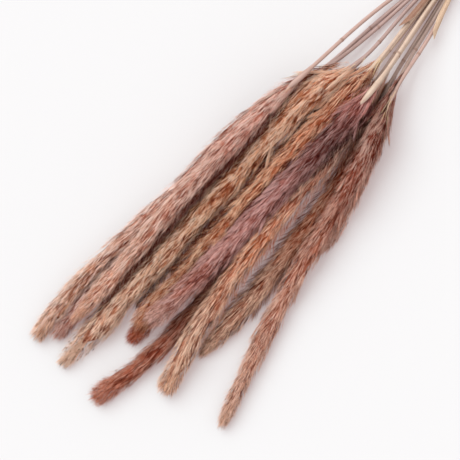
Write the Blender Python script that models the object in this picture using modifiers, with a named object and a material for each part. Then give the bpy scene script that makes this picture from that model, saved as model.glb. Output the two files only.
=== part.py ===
"""A bundle of dried reed grass, lying on a surface and tied with twine near its cut ends.

The layout is drawn in millimetres in a plan whose origin is the tie: X runs across the bundle and Y
along it, from the plume tips (negative) to the cut ends (positive). Every reed is a stem that ends in
a plume. The reeds are laid down one after another, so each one's height follows from those under it.
The finished model is in metres, with its origin at the bottom centre of its bounding box.
"""

import math
from dataclasses import dataclass

import bpy
import numpy as np
from mathutils import Matrix, Vector

MM = 0.001

# Stems, in millimetres.
STEM_RADIUS = 1.5
STEM_NECK_RADIUS = 1.25
STEM_POINT_PITCH = 13.0

# Plumes: the solid is the packed heart of the plume, and its loose hair stands out beyond it.
PLUME_TIP_RADIUS = 2.4
PLUME_NECK_RADIUS = 2.0
PLUME_POINT_PITCH = 13.0
PLUME_SWELL = 0.09
PLUME_TAPER = 0.13
PLUME_TIP_FULLNESS = 0.7

# Laying the reeds on each other.
CLEARANCE = 0.45
SLANT = 1.04
STATION_PITCH = 4.0
DROOP = 0.003
SMOOTHING = 16.0

# The tie: a few turns of twine, drawn tight round the stems, and its knot.
TWINE_RADIUS = 0.85
TWINE_TURNS = 4
TWINE_PITCH = 2.0
TWINE_STEPS = 20
TIE_HALF_WIDTH = 7.0
KNOT_RADII = (3.0, 2.4, 1.7)
TAIL_OUT = 9.0
TAIL_ALONG = 9.5
TAIL_DROP_SHARE = 0.8
TAIL_STEPS = 9
SEAT_GAP = 0.3

# Stems stand side by side in the tie, each row in the hollows of the row under it.
SLOT_PITCH = 2.0 * STEM_RADIUS * SLANT + CLEARANCE
SPLAY = 1.9
HALFWAY_Y = -72.0

# Dry leaf sheaths, thin shells that clasp part of a stem.
SHEATH_THICKNESS = 0.4
SHEATH_ROOM = 1.1
SHEATH_END_SHARE = 0.35
SHEATH_STEPS = 9
SHEATH_COLUMNS = 7

DYES = {
    "mauve": (0.36, 0.20, 0.17),
    "golden": (0.44, 0.25, 0.15),
    "russet": (0.26, 0.11, 0.08),
    "beige": (0.46, 0.28, 0.19),
    "brown": (0.31, 0.16, 0.10),
}
STRAW_COLOURS = {
    "pinkish": (0.60, 0.44, 0.36),
    "straw": (0.66, 0.52, 0.34),
    "mauve": (0.45, 0.30, 0.28),
    "grey": (0.52, 0.42, 0.36),
}
SHEATH_COLOURS = {"dark": (0.20, 0.10, 0.06), "pale": (0.50, 0.40, 0.30)}
TWINE_COLOUR = (0.50, 0.38, 0.24)


@dataclass(frozen=True)
class Reed:
    """One reed: its place in the plan, its plume's size and its place in the tie."""

    name: str
    dye: str
    straw: str
    plume_radius: float
    plume_route: tuple  # (x, y) from the plume's tip to the base where its stem begins
    stem_x: float  # where the stem passes halfway between the plume and the tie
    slot: float  # its place across the tie, in slot pitches from the middle
    cut_y: float


@dataclass(frozen=True)
class Sheath:
    """A dry leaf sheath on one reed's stem."""

    name: str
    reed: str
    colour: str
    start_y: float
    end_y: float
    half_angle: float
    lean: float  # which way its middle faces, in degrees from straight up


# In the order in which they are laid down, the lowest first.
REEDS = (
    Reed(
        name="b", dye="mauve", straw="mauve", plume_radius=5.4,
        plume_route=((-58, -434), (-57, -390), (-51, -335), (-42, -270), (-36, -205), (-28, -152)),
        stem_x=-14.0, slot=-1.0, cut_y=104.0,
    ),
    Reed(
        name="h", dye="russet", straw="grey", plume_radius=5.8,
        plume_route=((-6, -453), (7, -400), (11, -325), (11, -235), (9, -146)),
        stem_x=4.0, slot=0.0, cut_y=112.0,
    ),
    Reed(
        name="j", dye="brown", straw="grey", plume_radius=6.0,
        plume_route=((36, -373), (39, -310), (38, -250), (32, -190), (20, -140)),
        stem_x=11.0, slot=1.0, cut_y=98.0,
    ),
    Reed(
        name="e", dye="russet", straw="straw", plume_radius=5.2,
        plume_route=((-12, -402), (-7, -330), (-3, -250), (-1, -190), (1, -142)),
        stem_x=1.0, slot=-0.5, cut_y=108.0,
    ),
    Reed(
        name="a", dye="mauve", straw="mauve", plume_radius=5.9,
        plume_route=((-69, -444), (-70, -410), (-65, -355), (-56, -295), (-47, -215), (-29, -158)),
        stem_x=-11.5, slot=-1.5, cut_y=101.0,
    ),
    Reed(
        name="i", dye="beige", straw="straw", plume_radius=6.3,
        plume_route=((32, -415), (21, -360), (15, -275), (16, -200), (12, -141)),
        stem_x=6.5, slot=0.5, cut_y=115.0,
    ),
    Reed(
        name="l", dye="mauve", straw="grey", plume_radius=4.4,
        plume_route=((58, -256), (52, -224), (44, -190), (34, -162), (25, -137)),
        stem_x=13.5, slot=1.5, cut_y=103.0,
    ),
    Reed(
        name="k", dye="mauve", straw="pinkish", plume_radius=6.7,
        plume_route=((81, -407), (66, -345), (53, -280), (44, -220), (36, -180), (25, -139)),
        stem_x=17.0, slot=1.0, cut_y=99.0,
    ),
    Reed(
        name="c", dye="mauve", straw="pinkish", plume_radius=6.4,
        plume_route=((-55, -415), (-52, -370), (-51, -305), (-46, -240), (-42, -200), (-37, -170)),
        stem_x=-20.0, slot=-1.0, cut_y=110.0,
    ),
    Reed(
        name="d", dye="golden", straw="mauve", plume_radius=7.4,
        plume_route=((-39, -446), (-33, -365), (-28, -275), (-24, -205), (-20, -165), (-12, -138)),
        stem_x=-7.0, slot=0.0, cut_y=106.0,
    ),
    Reed(
        name="f", dye="golden", straw="straw", plume_radius=6.2,
        plume_route=((-17, -389), (-13, -320), (-10, -250), (-5, -185), (0, -127)),
        stem_x=-1.0, slot=-0.5, cut_y=113.0,
    ),
    Reed(
        name="g", dye="mauve", straw="straw", plume_radius=7.0,
        plume_route=((-11, -393), (-2, -325), (4, -250), (8, -195), (10, -141)),
        stem_x=5.0, slot=0.5, cut_y=105.0,
    ),
)

SHEATHS = (
    Sheath(
        name="sheath_dark", reed="f", colour="dark", start_y=-92.0, end_y=-44.0,
        half_angle=100.0, lean=20.0,
    ),
    Sheath(
        name="sheath_pale", reed="k", colour="pale", start_y=-84.0, end_y=-50.0,
        half_angle=80.0, lean=-30.0,
    ),
)


class Curve:
    """A smooth plan curve x(y) through a few points: a natural cubic spline."""

    def __init__(self, points):
        ordered = sorted(points, key=lambda point: point[1])
        self.y = np.array([point[1] for point in ordered], float)
        self.x = np.array([point[0] for point in ordered], float)
        self.bend = self._second_derivatives()

    def _second_derivatives(self):
        count = len(self.y)
        step = np.diff(self.y)
        matrix = np.eye(count)
        target = np.zeros(count)
        for i in range(1, count - 1):
            matrix[i, i - 1:i + 2] = (step[i - 1], 2.0 * (step[i - 1] + step[i]), step[i])
            slope_after = (self.x[i + 1] - self.x[i]) / step[i]
            slope_before = (self.x[i] - self.x[i - 1]) / step[i - 1]
            target[i] = 6.0 * (slope_after - slope_before)
        return np.linalg.solve(matrix, target)

    def at(self, y):
        """The curve's x at each y, clamped to its two ends."""
        y = np.clip(np.asarray(y, float), self.y[0], self.y[-1])
        i = np.clip(np.searchsorted(self.y, y) - 1, 0, len(self.y) - 2)
        span = self.y[i + 1] - self.y[i]
        after = (y - self.y[i]) / span
        before = 1.0 - after
        bend = (before ** 3 - before) * self.bend[i] + (after ** 3 - after) * self.bend[i + 1]
        return before * self.x[i] + after * self.x[i + 1] + bend * span ** 2 / 6.0


def plume_radius_at(reed, y):
    """Radius along a plume: a slim neck, a full body and a tapered tip."""
    tip_y = reed.plume_route[0][1]
    base_y = reed.plume_route[-1][1]
    from_tip = np.clip((y - tip_y) / (base_y - tip_y), 0.0, 1.0)
    tip_part = np.clip(from_tip / PLUME_TAPER, 0.0, 1.0)
    neck_part = np.clip((1.0 - from_tip) / PLUME_SWELL, 0.0, 1.0)
    tip_swell = np.sin(tip_part * math.pi / 2) ** PLUME_TIP_FULLNESS
    neck_swell = np.sin(neck_part * math.pi / 2)
    toward_tip = PLUME_TIP_RADIUS + (reed.plume_radius - PLUME_TIP_RADIUS) * tip_swell
    toward_neck = PLUME_NECK_RADIUS + (reed.plume_radius - PLUME_NECK_RADIUS) * neck_swell
    return np.minimum(toward_tip, toward_neck)


def stem_radius_at(reed, y):
    """Radius along a stem, thinner towards the plume."""
    base_y = reed.plume_route[-1][1]
    return np.interp(y, (base_y, reed.cut_y), (STEM_NECK_RADIUS, STEM_RADIUS))


class LaidReed:
    """A reed in its place: its plan curve, and the height that it takes on those already laid."""

    def __init__(self, reed, stations, below):
        self.reed = reed
        self.stations = stations
        self.tip_y = reed.plume_route[0][1]
        self.base_y = reed.plume_route[-1][1]
        slot_x = reed.slot * SLOT_PITCH
        stem_points = [
            (reed.stem_x, HALFWAY_Y),
            (slot_x, -TIE_HALF_WIDTH),
            (slot_x, TIE_HALF_WIDTH),
            (slot_x * SPLAY, reed.cut_y),
        ]
        self.curve = Curve(list(reed.plume_route) + stem_points)
        self.present = (stations >= self.tip_y - STATION_PITCH) & (stations <= reed.cut_y + STATION_PITCH)
        self.x = self.curve.at(stations)
        self.radius = self.radius_at(stations)
        self.room = self.radius + self._sheath_room()
        self.z = self._settle(self._lowest_heights(below))

    def radius_at(self, y):
        """Radius of the plume or the stem, whichever is at y."""
        return np.where(y < self.base_y, plume_radius_at(self.reed, y), stem_radius_at(self.reed, y))

    def _sheath_room(self):
        room = np.zeros_like(self.stations)
        for sheath in SHEATHS:
            if sheath.reed == self.reed.name:
                clasped = self.stations > sheath.start_y - STATION_PITCH
                clasped &= (self.stations < sheath.end_y + STATION_PITCH)
                room[clasped] = SHEATH_ROOM
        return room

    def _lowest_heights(self, below):
        """The lowest centre height at each station that clears the floor and every reed below."""
        in_tie = np.abs(self.stations) < TIE_HALF_WIDTH
        floor = np.where(in_tie, 2.0 * TWINE_RADIUS + SEAT_GAP, 0.0)
        lowest = floor + self.room
        for other in below:
            reach = (self.room + other.room) * SLANT + CLEARANCE
            aside = self.x - other.x
            meets = other.present & (np.abs(aside) < reach)
            over = other.z + np.sqrt(np.maximum(reach ** 2 - aside ** 2, 0.0))
            lowest = np.where(meets, np.maximum(lowest, over), lowest)
        return lowest

    def _settle(self, lowest):
        """A height line stiff enough for a reed: nowhere lower than asked, and with no sharp bend."""
        apart = self.stations[:, None] - self.stations[None, :]
        held = np.where(self.present[None, :], lowest[None, :], -np.inf)
        arched = (held - DROOP * apart ** 2).max(axis=1)
        weights = (np.abs(apart) <= SMOOTHING).astype(float)
        spread = (weights * apart ** 2).sum(axis=1) / weights.sum(axis=1)
        return (weights * arched[None, :]).sum(axis=1) / weights.sum(axis=1) + DROOP * spread

    def centre(self, y):
        """The centreline's point at y, in millimetres."""
        return Vector((float(self.curve.at(y)), float(y), float(np.interp(y, self.stations, self.z))))


def lay_reeds():
    """Lay the reeds down in order, each on those before it."""
    tips = min(reed.plume_route[0][1] for reed in REEDS)
    ends = max(reed.cut_y for reed in REEDS)
    stations = np.arange(tips - 3 * STATION_PITCH, ends + 3 * STATION_PITCH, STATION_PITCH)
    laid = []
    for reed in REEDS:
        laid.append(LaidReed(reed, stations, laid))
    return laid


def make_material(name, colour, roughness):
    """A plain Principled material."""
    material = bpy.data.materials.new(name)
    material.use_nodes = True
    shader = material.node_tree.nodes["Principled BSDF"]
    shader.inputs["Base Color"].default_value = (*colour, 1.0)
    shader.inputs["Roughness"].default_value = roughness
    shader.inputs["Metallic"].default_value = 0.0
    material.diffuse_color = (*colour, 1.0)
    return material


def add_object(name, data, colour, roughness, collection, root):
    """Put an object's data in the scene, with its material, under the bundle's root."""
    data.materials.append(make_material(name, colour, roughness))
    obj = bpy.data.objects.new(name, data)
    obj.parent = root
    collection.objects.link(obj)
    return obj


def make_tube(name, points, radii, colour, roughness, collection, root):
    """A round, capped tube along points, both points and radii in millimetres."""
    curve = bpy.data.curves.new(name, "CURVE")
    curve.dimensions = "3D"
    curve.bevel_depth = MM
    curve.bevel_resolution = 2
    curve.use_fill_caps = True
    spline = curve.splines.new("POLY")
    spline.points.add(len(points) - 1)
    for spline_point, point, radius in zip(spline.points, points, radii):
        spline_point.co = (*(point * MM), 1.0)
        spline_point.radius = float(radius)
    return add_object(name, curve, colour, roughness, collection, root)


def along(start, end, pitch):
    """Evenly spaced places from start to end, about a pitch apart."""
    return np.linspace(start, end, max(2, round(abs(end - start) / pitch) + 1))


def add_plume(laid, collection, root):
    """The plume's packed heart, from its tip to the top of its stem."""
    places = along(laid.tip_y, laid.base_y, PLUME_POINT_PITCH)
    points = [laid.centre(y) for y in places]
    radii = plume_radius_at(laid.reed, places)
    colour = DYES[laid.reed.dye]
    make_tube(f"plume_{laid.reed.name}", points, radii, colour, 0.9, collection, root)


def add_stem(laid, collection, root):
    """The stem, from just clear of its plume to its cut end."""
    places = along(laid.base_y + SEAT_GAP, laid.reed.cut_y, STEM_POINT_PITCH)
    points = [laid.centre(y) for y in places]
    radii = stem_radius_at(laid.reed, places)
    colour = STRAW_COLOURS[laid.reed.straw]
    make_tube(f"stem_{laid.reed.name}", points, radii, colour, 0.6, collection, root)


def tie_outline_point(laid_reeds, y, angle):
    """A point of the taut loop round all stems at y, where its outward direction has this angle."""
    outward = Vector((math.cos(angle), 0.0, math.sin(angle)))
    outermost = max((laid.centre(y) for laid in laid_reeds), key=lambda centre: centre.dot(outward))
    return outermost + outward * (STEM_RADIUS * SLANT + SEAT_GAP + TWINE_RADIUS)


def add_twine(laid_reeds, collection, root):
    """Tight turns of twine round the stems."""
    count = TWINE_TURNS * TWINE_STEPS
    points = []
    for step in range(count + 1):
        turns = step / TWINE_STEPS
        y = (turns - TWINE_TURNS / 2) * TWINE_PITCH
        point = tie_outline_point(laid_reeds, y, math.pi / 2 + turns * 2.0 * math.pi)
        point.y = y
        points.append(point)
    make_tube("twine_wrap", points, [TWINE_RADIUS] * len(points), TWINE_COLOUR, 0.9, collection, root)


def knot_seat(laid_reeds):
    """The knot's centre, just above the twine on top of the bundle."""
    top = tie_outline_point(laid_reeds, 0.0, math.pi / 2)
    return Vector((top.x, 0.0, top.z + TWINE_RADIUS + SEAT_GAP + KNOT_RADII[2]))


def add_knot(laid_reeds, collection, root):
    """The knot, as a flattened ball on the wrap."""
    bpy.ops.mesh.primitive_uv_sphere_add(segments=14, ring_count=8, radius=1.0)
    ball = bpy.context.object
    data = ball.data
    data.name = "twine_knot"
    data.transform(Matrix.Diagonal((*(radius * MM for radius in KNOT_RADII), 1.0)))
    bpy.data.objects.remove(ball)
    data.shade_smooth()
    knot = add_object("twine_knot", data, TWINE_COLOUR, 0.9, collection, root)
    knot.location = knot_seat(laid_reeds) * MM


def add_tails(laid_reeds, collection, root):
    """The twine's two clipped ends, which leave the knot sideways and hang down beside the stems."""
    seat = knot_seat(laid_reeds)
    for name, side in (("twine_end_left", -1.0), ("twine_end_right", 1.0)):
        points = []
        for share in np.linspace(0.0, 1.0, TAIL_STEPS):
            turn = share * math.pi / 2
            out = KNOT_RADII[0] + SEAT_GAP + TAIL_OUT * math.sin(turn)
            drop = seat.z * TAIL_DROP_SHARE * (1.0 - math.cos(turn))
            points.append(Vector((seat.x + side * out, TAIL_ALONG * share ** 2, seat.z - drop)))
        make_tube(name, points, [TWINE_RADIUS] * len(points), TWINE_COLOUR, 0.9, collection, root)


def add_sheath(sheath, laid, collection, root):
    """A leaf sheath: an open shell round part of the stem, narrowing to its two ends."""
    vertices = []
    for row in range(SHEATH_STEPS):
        share = row / (SHEATH_STEPS - 1)
        y = sheath.start_y + (sheath.end_y - sheath.start_y) * share
        centre = laid.centre(y)
        ring_radius = STEM_RADIUS * SLANT + SEAT_GAP
        fullness = SHEATH_END_SHARE + (1.0 - SHEATH_END_SHARE) * math.sin(math.pi * share)
        spread = math.radians(sheath.half_angle) * fullness
        for column in range(SHEATH_COLUMNS):
            turn = (2.0 * column / (SHEATH_COLUMNS - 1) - 1.0) * spread
            angle = math.radians(90.0 + sheath.lean) + turn
            offset = Vector((math.cos(angle), 0.0, math.sin(angle))) * ring_radius
            vertices.append((centre + offset) * MM)
    faces = []
    for row in range(SHEATH_STEPS - 1):
        for column in range(SHEATH_COLUMNS - 1):
            corner = row * SHEATH_COLUMNS + column
            faces.append((corner, corner + 1, corner + SHEATH_COLUMNS + 1, corner + SHEATH_COLUMNS))
    data = bpy.data.meshes.new(sheath.name)
    data.from_pydata(vertices, [], faces)
    data.shade_smooth()
    obj = add_object(sheath.name, data, SHEATH_COLOURS[sheath.colour], 0.7, collection, root)
    solidify = obj.modifiers.new("thickness", "SOLIDIFY")
    solidify.thickness = SHEATH_THICKNESS * MM
    solidify.offset = -1.0


def centre_on_origin(collection, root):
    """Move the whole bundle so that its bounding box stands on the origin."""
    bpy.context.view_layer.update()
    depsgraph = bpy.context.evaluated_depsgraph_get()
    low = Vector((math.inf,) * 3)
    high = Vector((-math.inf,) * 3)
    for obj in collection.objects:
        if obj.type == "EMPTY":
            continue
        evaluated = obj.evaluated_get(depsgraph)
        mesh = evaluated.to_mesh()
        for vertex in mesh.vertices:
            place = evaluated.matrix_world @ vertex.co
            low = Vector(map(min, low, place))
            high = Vector(map(max, high, place))
        evaluated.to_mesh_clear()
    root.location = (-(low.x + high.x) / 2, -(low.y + high.y) / 2, -low.z)
    bpy.context.view_layer.update()


def main():
    """Build the bundle."""
    for obj in list(bpy.data.objects):
        bpy.data.objects.remove(obj)
    collection = bpy.data.collections.new("dried_reed_bundle")
    bpy.context.scene.collection.children.link(collection)
    root = bpy.data.objects.new("bundle_root", None)
    collection.objects.link(root)
    laid_reeds = lay_reeds()
    by_name = {laid.reed.name: laid for laid in laid_reeds}
    for laid in laid_reeds:
        add_plume(laid, collection, root)
        add_stem(laid, collection, root)
    for sheath in SHEATHS:
        add_sheath(sheath, by_name[sheath.reed], collection, root)
    add_twine(laid_reeds, collection, root)
    add_knot(laid_reeds, collection, root)
    add_tails(laid_reeds, collection, root)
    centre_on_origin(collection, root)


main()
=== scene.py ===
"""A bundle of dried reed grass: brushed plumes on long stems, tied with twine and lying flat.

Lengths in this file are millimetres, and a mesh is written in metres. Each reed is dressed along
its own line, which comes from its solids in the frame: across the line, above it, and along it from
the foot of the plume (0) to its tip, with the stem on the negative side.
"""

import logging
import math
from dataclasses import dataclass
from enum import Enum
import bmesh
import bpy
import numpy as np
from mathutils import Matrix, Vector


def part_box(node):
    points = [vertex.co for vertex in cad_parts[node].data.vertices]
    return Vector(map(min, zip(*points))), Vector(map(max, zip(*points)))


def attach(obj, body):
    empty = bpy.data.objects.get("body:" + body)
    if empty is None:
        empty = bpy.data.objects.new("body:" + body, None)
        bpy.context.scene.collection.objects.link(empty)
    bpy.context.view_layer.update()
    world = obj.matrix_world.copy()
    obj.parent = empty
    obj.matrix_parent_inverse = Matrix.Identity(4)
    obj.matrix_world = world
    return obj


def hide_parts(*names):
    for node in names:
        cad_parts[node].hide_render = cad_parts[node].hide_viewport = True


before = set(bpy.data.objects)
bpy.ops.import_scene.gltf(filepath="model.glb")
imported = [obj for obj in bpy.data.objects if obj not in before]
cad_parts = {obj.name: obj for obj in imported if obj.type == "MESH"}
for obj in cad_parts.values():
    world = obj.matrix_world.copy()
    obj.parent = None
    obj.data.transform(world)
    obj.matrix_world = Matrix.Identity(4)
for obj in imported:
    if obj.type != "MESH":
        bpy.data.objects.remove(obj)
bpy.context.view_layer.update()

MM = 0.001
BODY = "root"
REEDS = "abcdefghijkl"
BAKE_MAP = "OFBake"
STRAND_MAP_WIDTH = 0.0014
STRAND_CLEARANCE = 0.15
STRAND_MAP_SKEW = 0.37
FLOOR_GAP = 0.3
STEM_SEEDS, SHEATH_SEEDS, TWINE_SEED = 1001, 2000, 3001
TURN = 2.0 * math.pi
GOLDEN_ANGLE = math.radians(137.508)
BRIGHTEST = 0.93
STEM_GIRTH = 1.13
RING_GAP = 3.0
TINY = 1e-6

Array = np.ndarray
Socket = bpy.types.NodeSocket

log = logging.getLogger("reed_bundle")


# ---------------------------------------------------------------- colours and shader nodes


def linear(colour: int, gain: float = 1.0) -> tuple[float, float, float, float]:
    """Turn a screen colour into the shader's numbers.

    Args:
        colour: Red, green and blue, as 0xRRGGBB.
        gain: How much brighter the surface itself is than the colour.

    Returns:
        The linear colour, with an alpha of 1.
    """
    parts = []
    for shift in (16, 8, 0):
        share = (colour >> shift & 255) / 255.0
        parts.append(share / 12.92 if share <= 0.04045 else ((share + 0.055) / 1.055) ** 2.4)
    gain = min(gain, BRIGHTEST / max(*parts, 0.001))
    return (*(part * gain for part in parts), 1.0)


def math_node(operation: str, swapped: bool = False):
    """An operator of Value that adds one Math node.

    Args:
        operation: What the node does.
        swapped: True where the value comes after the other number.
    """

    def apply(value: "Value", *others: "Value | float") -> "Value":
        operands = (*others, value) if swapped else (value, *others)
        node = value.shader.add("ShaderNodeMath", {"operation": operation}, dict(enumerate(operands)))
        return Value(value.shader, node.outputs[0])

    return apply


class Value:
    """A number that varies over a surface."""

    def __init__(self, shader: "Shader", socket: Socket) -> None:
        self.shader = shader
        self.socket = socket

    __add__ = __radd__ = math_node("ADD")
    __mul__ = __rmul__ = math_node("MULTIPLY")
    __sub__ = math_node("SUBTRACT")
    __rsub__ = math_node("SUBTRACT", swapped=True)
    __gt__ = math_node("GREATER_THAN")
    __abs__ = math_node("ABSOLUTE")
    cosine = math_node("COSINE")
    sine = math_node("SINE")

    def between(self, low: float, high: float) -> "Value":
        """The value's smooth way from low (0) to high (1)."""
        sockets = {"Value": self, "From Min": low, "From Max": high}
        node = self.shader.add("ShaderNodeMapRange", {"interpolation_type": "SMOOTHSTEP"}, sockets)
        return Value(self.shader, node.outputs["Result"])


class Shader:
    """The nodes of one material."""

    def __init__(self, name: str, constants: dict[str, float | tuple]) -> None:
        self.material = bpy.data.materials.new(name)
        self.material.use_nodes = True
        self.tree = self.material.node_tree
        self.surface = self.tree.nodes["Principled BSDF"]
        for key, value in constants.items():
            self.feed(self.surface.inputs[key], value)

    def add(self, kind: str, settings: dict | None = None, sockets: dict | None = None) -> bpy.types.Node:
        """Add one node.

        Args:
            kind: The node's type.
            settings: Its own settings.
            sockets: Values, links or constants for its inputs, by name or number.
        """
        node = self.tree.nodes.new(kind)
        for key, value in (settings or {}).items():
            setattr(node, key, value)
        for key, value in (sockets or {}).items():
            self.feed(node.inputs[key], value)
        return node

    def feed(self, socket: Socket, value: Value | Socket | float | tuple) -> None:
        """Link a value to a socket, or set the socket's own constant."""
        if isinstance(value, Value):
            value = value.socket
        if isinstance(value, Socket):
            self.tree.links.new(value, socket)
        else:
            socket.default_value = value

    def split(self, vector: Socket) -> tuple[Value, Value, Value]:
        """The three parts of a vector."""
        node = self.add("ShaderNodeSeparateXYZ", None, {"Vector": vector})
        return tuple(Value(self, output) for output in node.outputs)

    def map_place(self) -> tuple[Value, Value]:
        """The place on the mesh's map."""
        return self.split(self.add("ShaderNodeUVMap", {"uv_map": BAKE_MAP}).outputs["UV"])[:2]

    def object_place(self) -> tuple[Value, Value, Value]:
        """The place in the object's own space, in metres."""
        return self.split(self.add("ShaderNodeTexCoord").outputs["Object"])

    def mix(
        self, share: Value | float, first: Socket | tuple, second: Socket | tuple, blend: str = "MIX"
    ) -> Socket:
        """Two colours, mixed.

        Args:
            share: How much of the second colour.
            first: The colour under it.
            second: The colour over it.
            blend: How the second goes over the first.
        """
        settings = {"data_type": "RGBA", "blend_type": blend}
        return self.add("ShaderNodeMix", settings, {0: share, 6: first, 7: second}).outputs[2]

    def ramp(self, place: Value, stops: list[tuple[float, tuple]]) -> Socket:
        """A colour that changes with a value, through (place, colour) stops."""
        node = self.add("ShaderNodeValToRGB", None, {"Fac": place})
        elements = node.color_ramp.elements
        while len(elements) < len(stops):
            elements.new(0.5)
        for element, (spot, colour) in zip(elements, stops):
            element.position = spot
            element.color = colour
        return node.outputs["Color"]

    def noise(
        self, *parts: Value | float, detail: float = 2.0, rough: float = 0.6, scale: float = 1.0
    ) -> Value:
        """A soft random pattern from 0 to 1.

        Args:
            parts: Two or three coordinates.
            detail: How many finer patterns it adds.
            rough: How strong those are.
            scale: How often it varies.
        """
        place = self.add("ShaderNodeCombineXYZ", None, dict(enumerate(parts))).outputs[0]
        sockets = {"Vector": place, "Scale": scale, "Detail": detail, "Roughness": rough}
        return Value(self, self.add("ShaderNodeTexNoise", None, sockets).outputs["Fac"])

    def finish(
        self,
        colour: Socket,
        relief: Value | None = None,
        strength: float = 0.0,
        depth: float = 0.0003,
        roughness: Value | None = None,
    ) -> bpy.types.Material:
        """Give the surface its colour, with a bump and an uneven roughness where they are given."""
        self.feed(self.surface.inputs["Base Color"], colour)
        if roughness is not None:
            self.feed(self.surface.inputs["Roughness"], roughness)
        if relief is not None:
            sockets = {"Strength": strength, "Distance": depth, "Height": relief}
            self.feed(self.surface.inputs["Normal"], self.add("ShaderNodeBump", None, sockets).outputs[0])
        return self.material


# ---------------------------------------------------------------- lines and strands


def unit(vectors: Array) -> Array:
    """The same directions, each of length 1."""
    return vectors / (np.linalg.norm(vectors, axis=-1, keepdims=True) + 1e-9)


def eased(share: Array) -> Array:
    """A smooth step from 0 to 1."""
    share = np.clip(share, 0.0, 1.0)
    return share * share * (3.0 - 2.0 * share)


def on_map(share: Array) -> Array:
    """A place on a map, from a share of the way over it: a little is left free at both sides."""
    return 0.02 + 0.96 * share


def distances(path: Array) -> Array:
    """How far each point is along a path."""
    return np.concatenate(([0.0], np.cumsum(np.linalg.norm(np.diff(path, axis=0), axis=1))))


def around(bearing: Array, across: Array, above: Array) -> Array:
    """The way out at a bearing, between two ways across a line."""
    return np.cos(bearing) * across + np.sin(bearing) * above


def polar(across: Array, above: Array) -> tuple[Array, Array]:
    """Distances from a line, and bearings round it that never jump along a strand."""
    return np.hypot(across, above), np.unwrap(np.arctan2(above, across), axis=1)


def half_turned(bearing: Array) -> Array:
    """The same bearings, between half a turn one way and half a turn the other."""
    return (bearing + math.pi) % TURN - math.pi


def smooth_normals(corners: Array, faces: Array) -> Array:
    """The outward direction at each corner of a smooth shell."""
    sides = corners[faces]
    facing = np.cross(sides[:, 1] - sides[:, 0], sides[:, 2] - sides[:, 0])
    total = np.zeros_like(corners)
    for corner in range(3):
        np.add.at(total, faces[:, corner], facing)
    return unit(total)


def triangles_of(bm: bmesh.types.BMesh) -> tuple[Array, Array]:
    """A mesh's corners and its triangles. The mesh itself is freed."""
    bmesh.ops.triangulate(bm, faces=bm.faces)
    bm.verts.index_update()
    corners = np.array([vertex.co for vertex in bm.verts])
    faces = np.array([[vertex.index for vertex in face.verts] for face in bm.faces])
    bm.free()
    return corners, faces


def of_kind(items: list, kind: type) -> list:
    """The items of one kind among those that a mesh operation made."""
    return [item for item in items if isinstance(item, kind)]


def straight_tube(sides: int, rings: int) -> tuple[Array, Array, Array, Array]:
    """A closed tube of radius 1 on the Z axis.

    Args:
        sides: Its corners in each ring.
        rings: Its rings.

    Returns:
        Each corner's share of the way up, its bearing and its distance from the axis, and the triangles.
    """
    bm = bmesh.new()
    size = {"segments": sides, "radius1": 1.0, "radius2": 1.0, "depth": 1.0}
    bmesh.ops.create_cone(bm, cap_ends=True, cap_tris=True, **size)
    upright = [edge for edge in bm.edges if abs(edge.verts[0].co.z - edge.verts[1].co.z) > 0.5]
    bmesh.ops.subdivide_edges(bm, edges=upright, cuts=rings - 2, use_grid_fill=True)
    corners, faces = triangles_of(bm)
    bearing = np.arctan2(corners[:, 1], corners[:, 0])
    return corners[:, 2] + 0.5, bearing, np.hypot(corners[:, 0], corners[:, 1]), faces


class Line:
    """A smooth line through points. Beyond its ends it runs on straight."""

    def __init__(self, points: Array, radii: Array, start: int) -> None:
        """Measure the line.

        Args:
            points: Its points, in order.
            radii: The solid's radius at each point.
            start: The point from which places along the line are measured.
        """
        along = distances(points)
        self.along = along - along[start]
        self.points = points
        self.radii = radii
        self.slopes = np.gradient(points, self.along, axis=0)

    def centre(self, along: Array) -> Array:
        """The points of the line at these places."""
        inside = np.clip(along, self.along[0], self.along[-1])
        i = np.clip(np.searchsorted(self.along, inside) - 1, 0, len(self.along) - 2)
        span = (self.along[i + 1] - self.along[i])[..., None]
        t = (inside - self.along[i])[..., None] / span
        p, q = self.points[i], self.points[i + 1]
        u, v = self.slopes[i] * span, self.slopes[i + 1] * span
        curve = p * (2 * t**3 - 3 * t**2 + 1) + u * (t**3 - 2 * t**2 + t)
        curve += q * (3 * t**2 - 2 * t**3) + v * (t**3 - t**2)
        beyond = (along - inside)[..., None]
        return curve + beyond * np.where(beyond < 0, self.slopes[0], self.slopes[-1])

    def frame(self, along: Array) -> tuple[Array, Array]:
        """The ways to the line's side and above it, at these places."""
        step = 0.5
        heading = unit(self.centre(along + step) - self.centre(along - step))
        side = unit(np.cross((0.0, 0.0, 1.0), heading))
        return side, np.cross(heading, side)

    def place(self, across: Array, above: Array, along: Array) -> Array:
        """The points at these places round the line."""
        side, up = self.frame(along)
        return self.centre(along) + side * across[..., None] + up * above[..., None]

    def radius(self, along: Array) -> Array:
        """The solid's radius at these places."""
        return np.interp(along, self.along, self.radii)


def rings_of(node: str) -> tuple[Array, Array]:
    """Read a tube's rings from its solid in the frame.

    Args:
        node: A tube that runs roughly along Y.

    Returns:
        The rings' centres, from the highest Y to the lowest, and their radii.
    """
    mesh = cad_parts[node].data
    flat = np.empty(len(mesh.vertices) * 3, np.float32)
    mesh.vertices.foreach_get("co", flat)
    corners = np.unique(flat.reshape(-1, 3), axis=0).astype(float) / MM
    corners = corners[np.argsort(-corners[:, 1])]
    rings = np.split(corners, np.flatnonzero(-np.diff(corners[:, 1]) > RING_GAP) + 1)
    centres = np.array([ring.mean(0) for ring in rings])
    radii = np.array([np.linalg.norm(ring - centre, axis=1).mean() for ring, centre in zip(rings, centres)])
    return centres, radii


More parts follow.
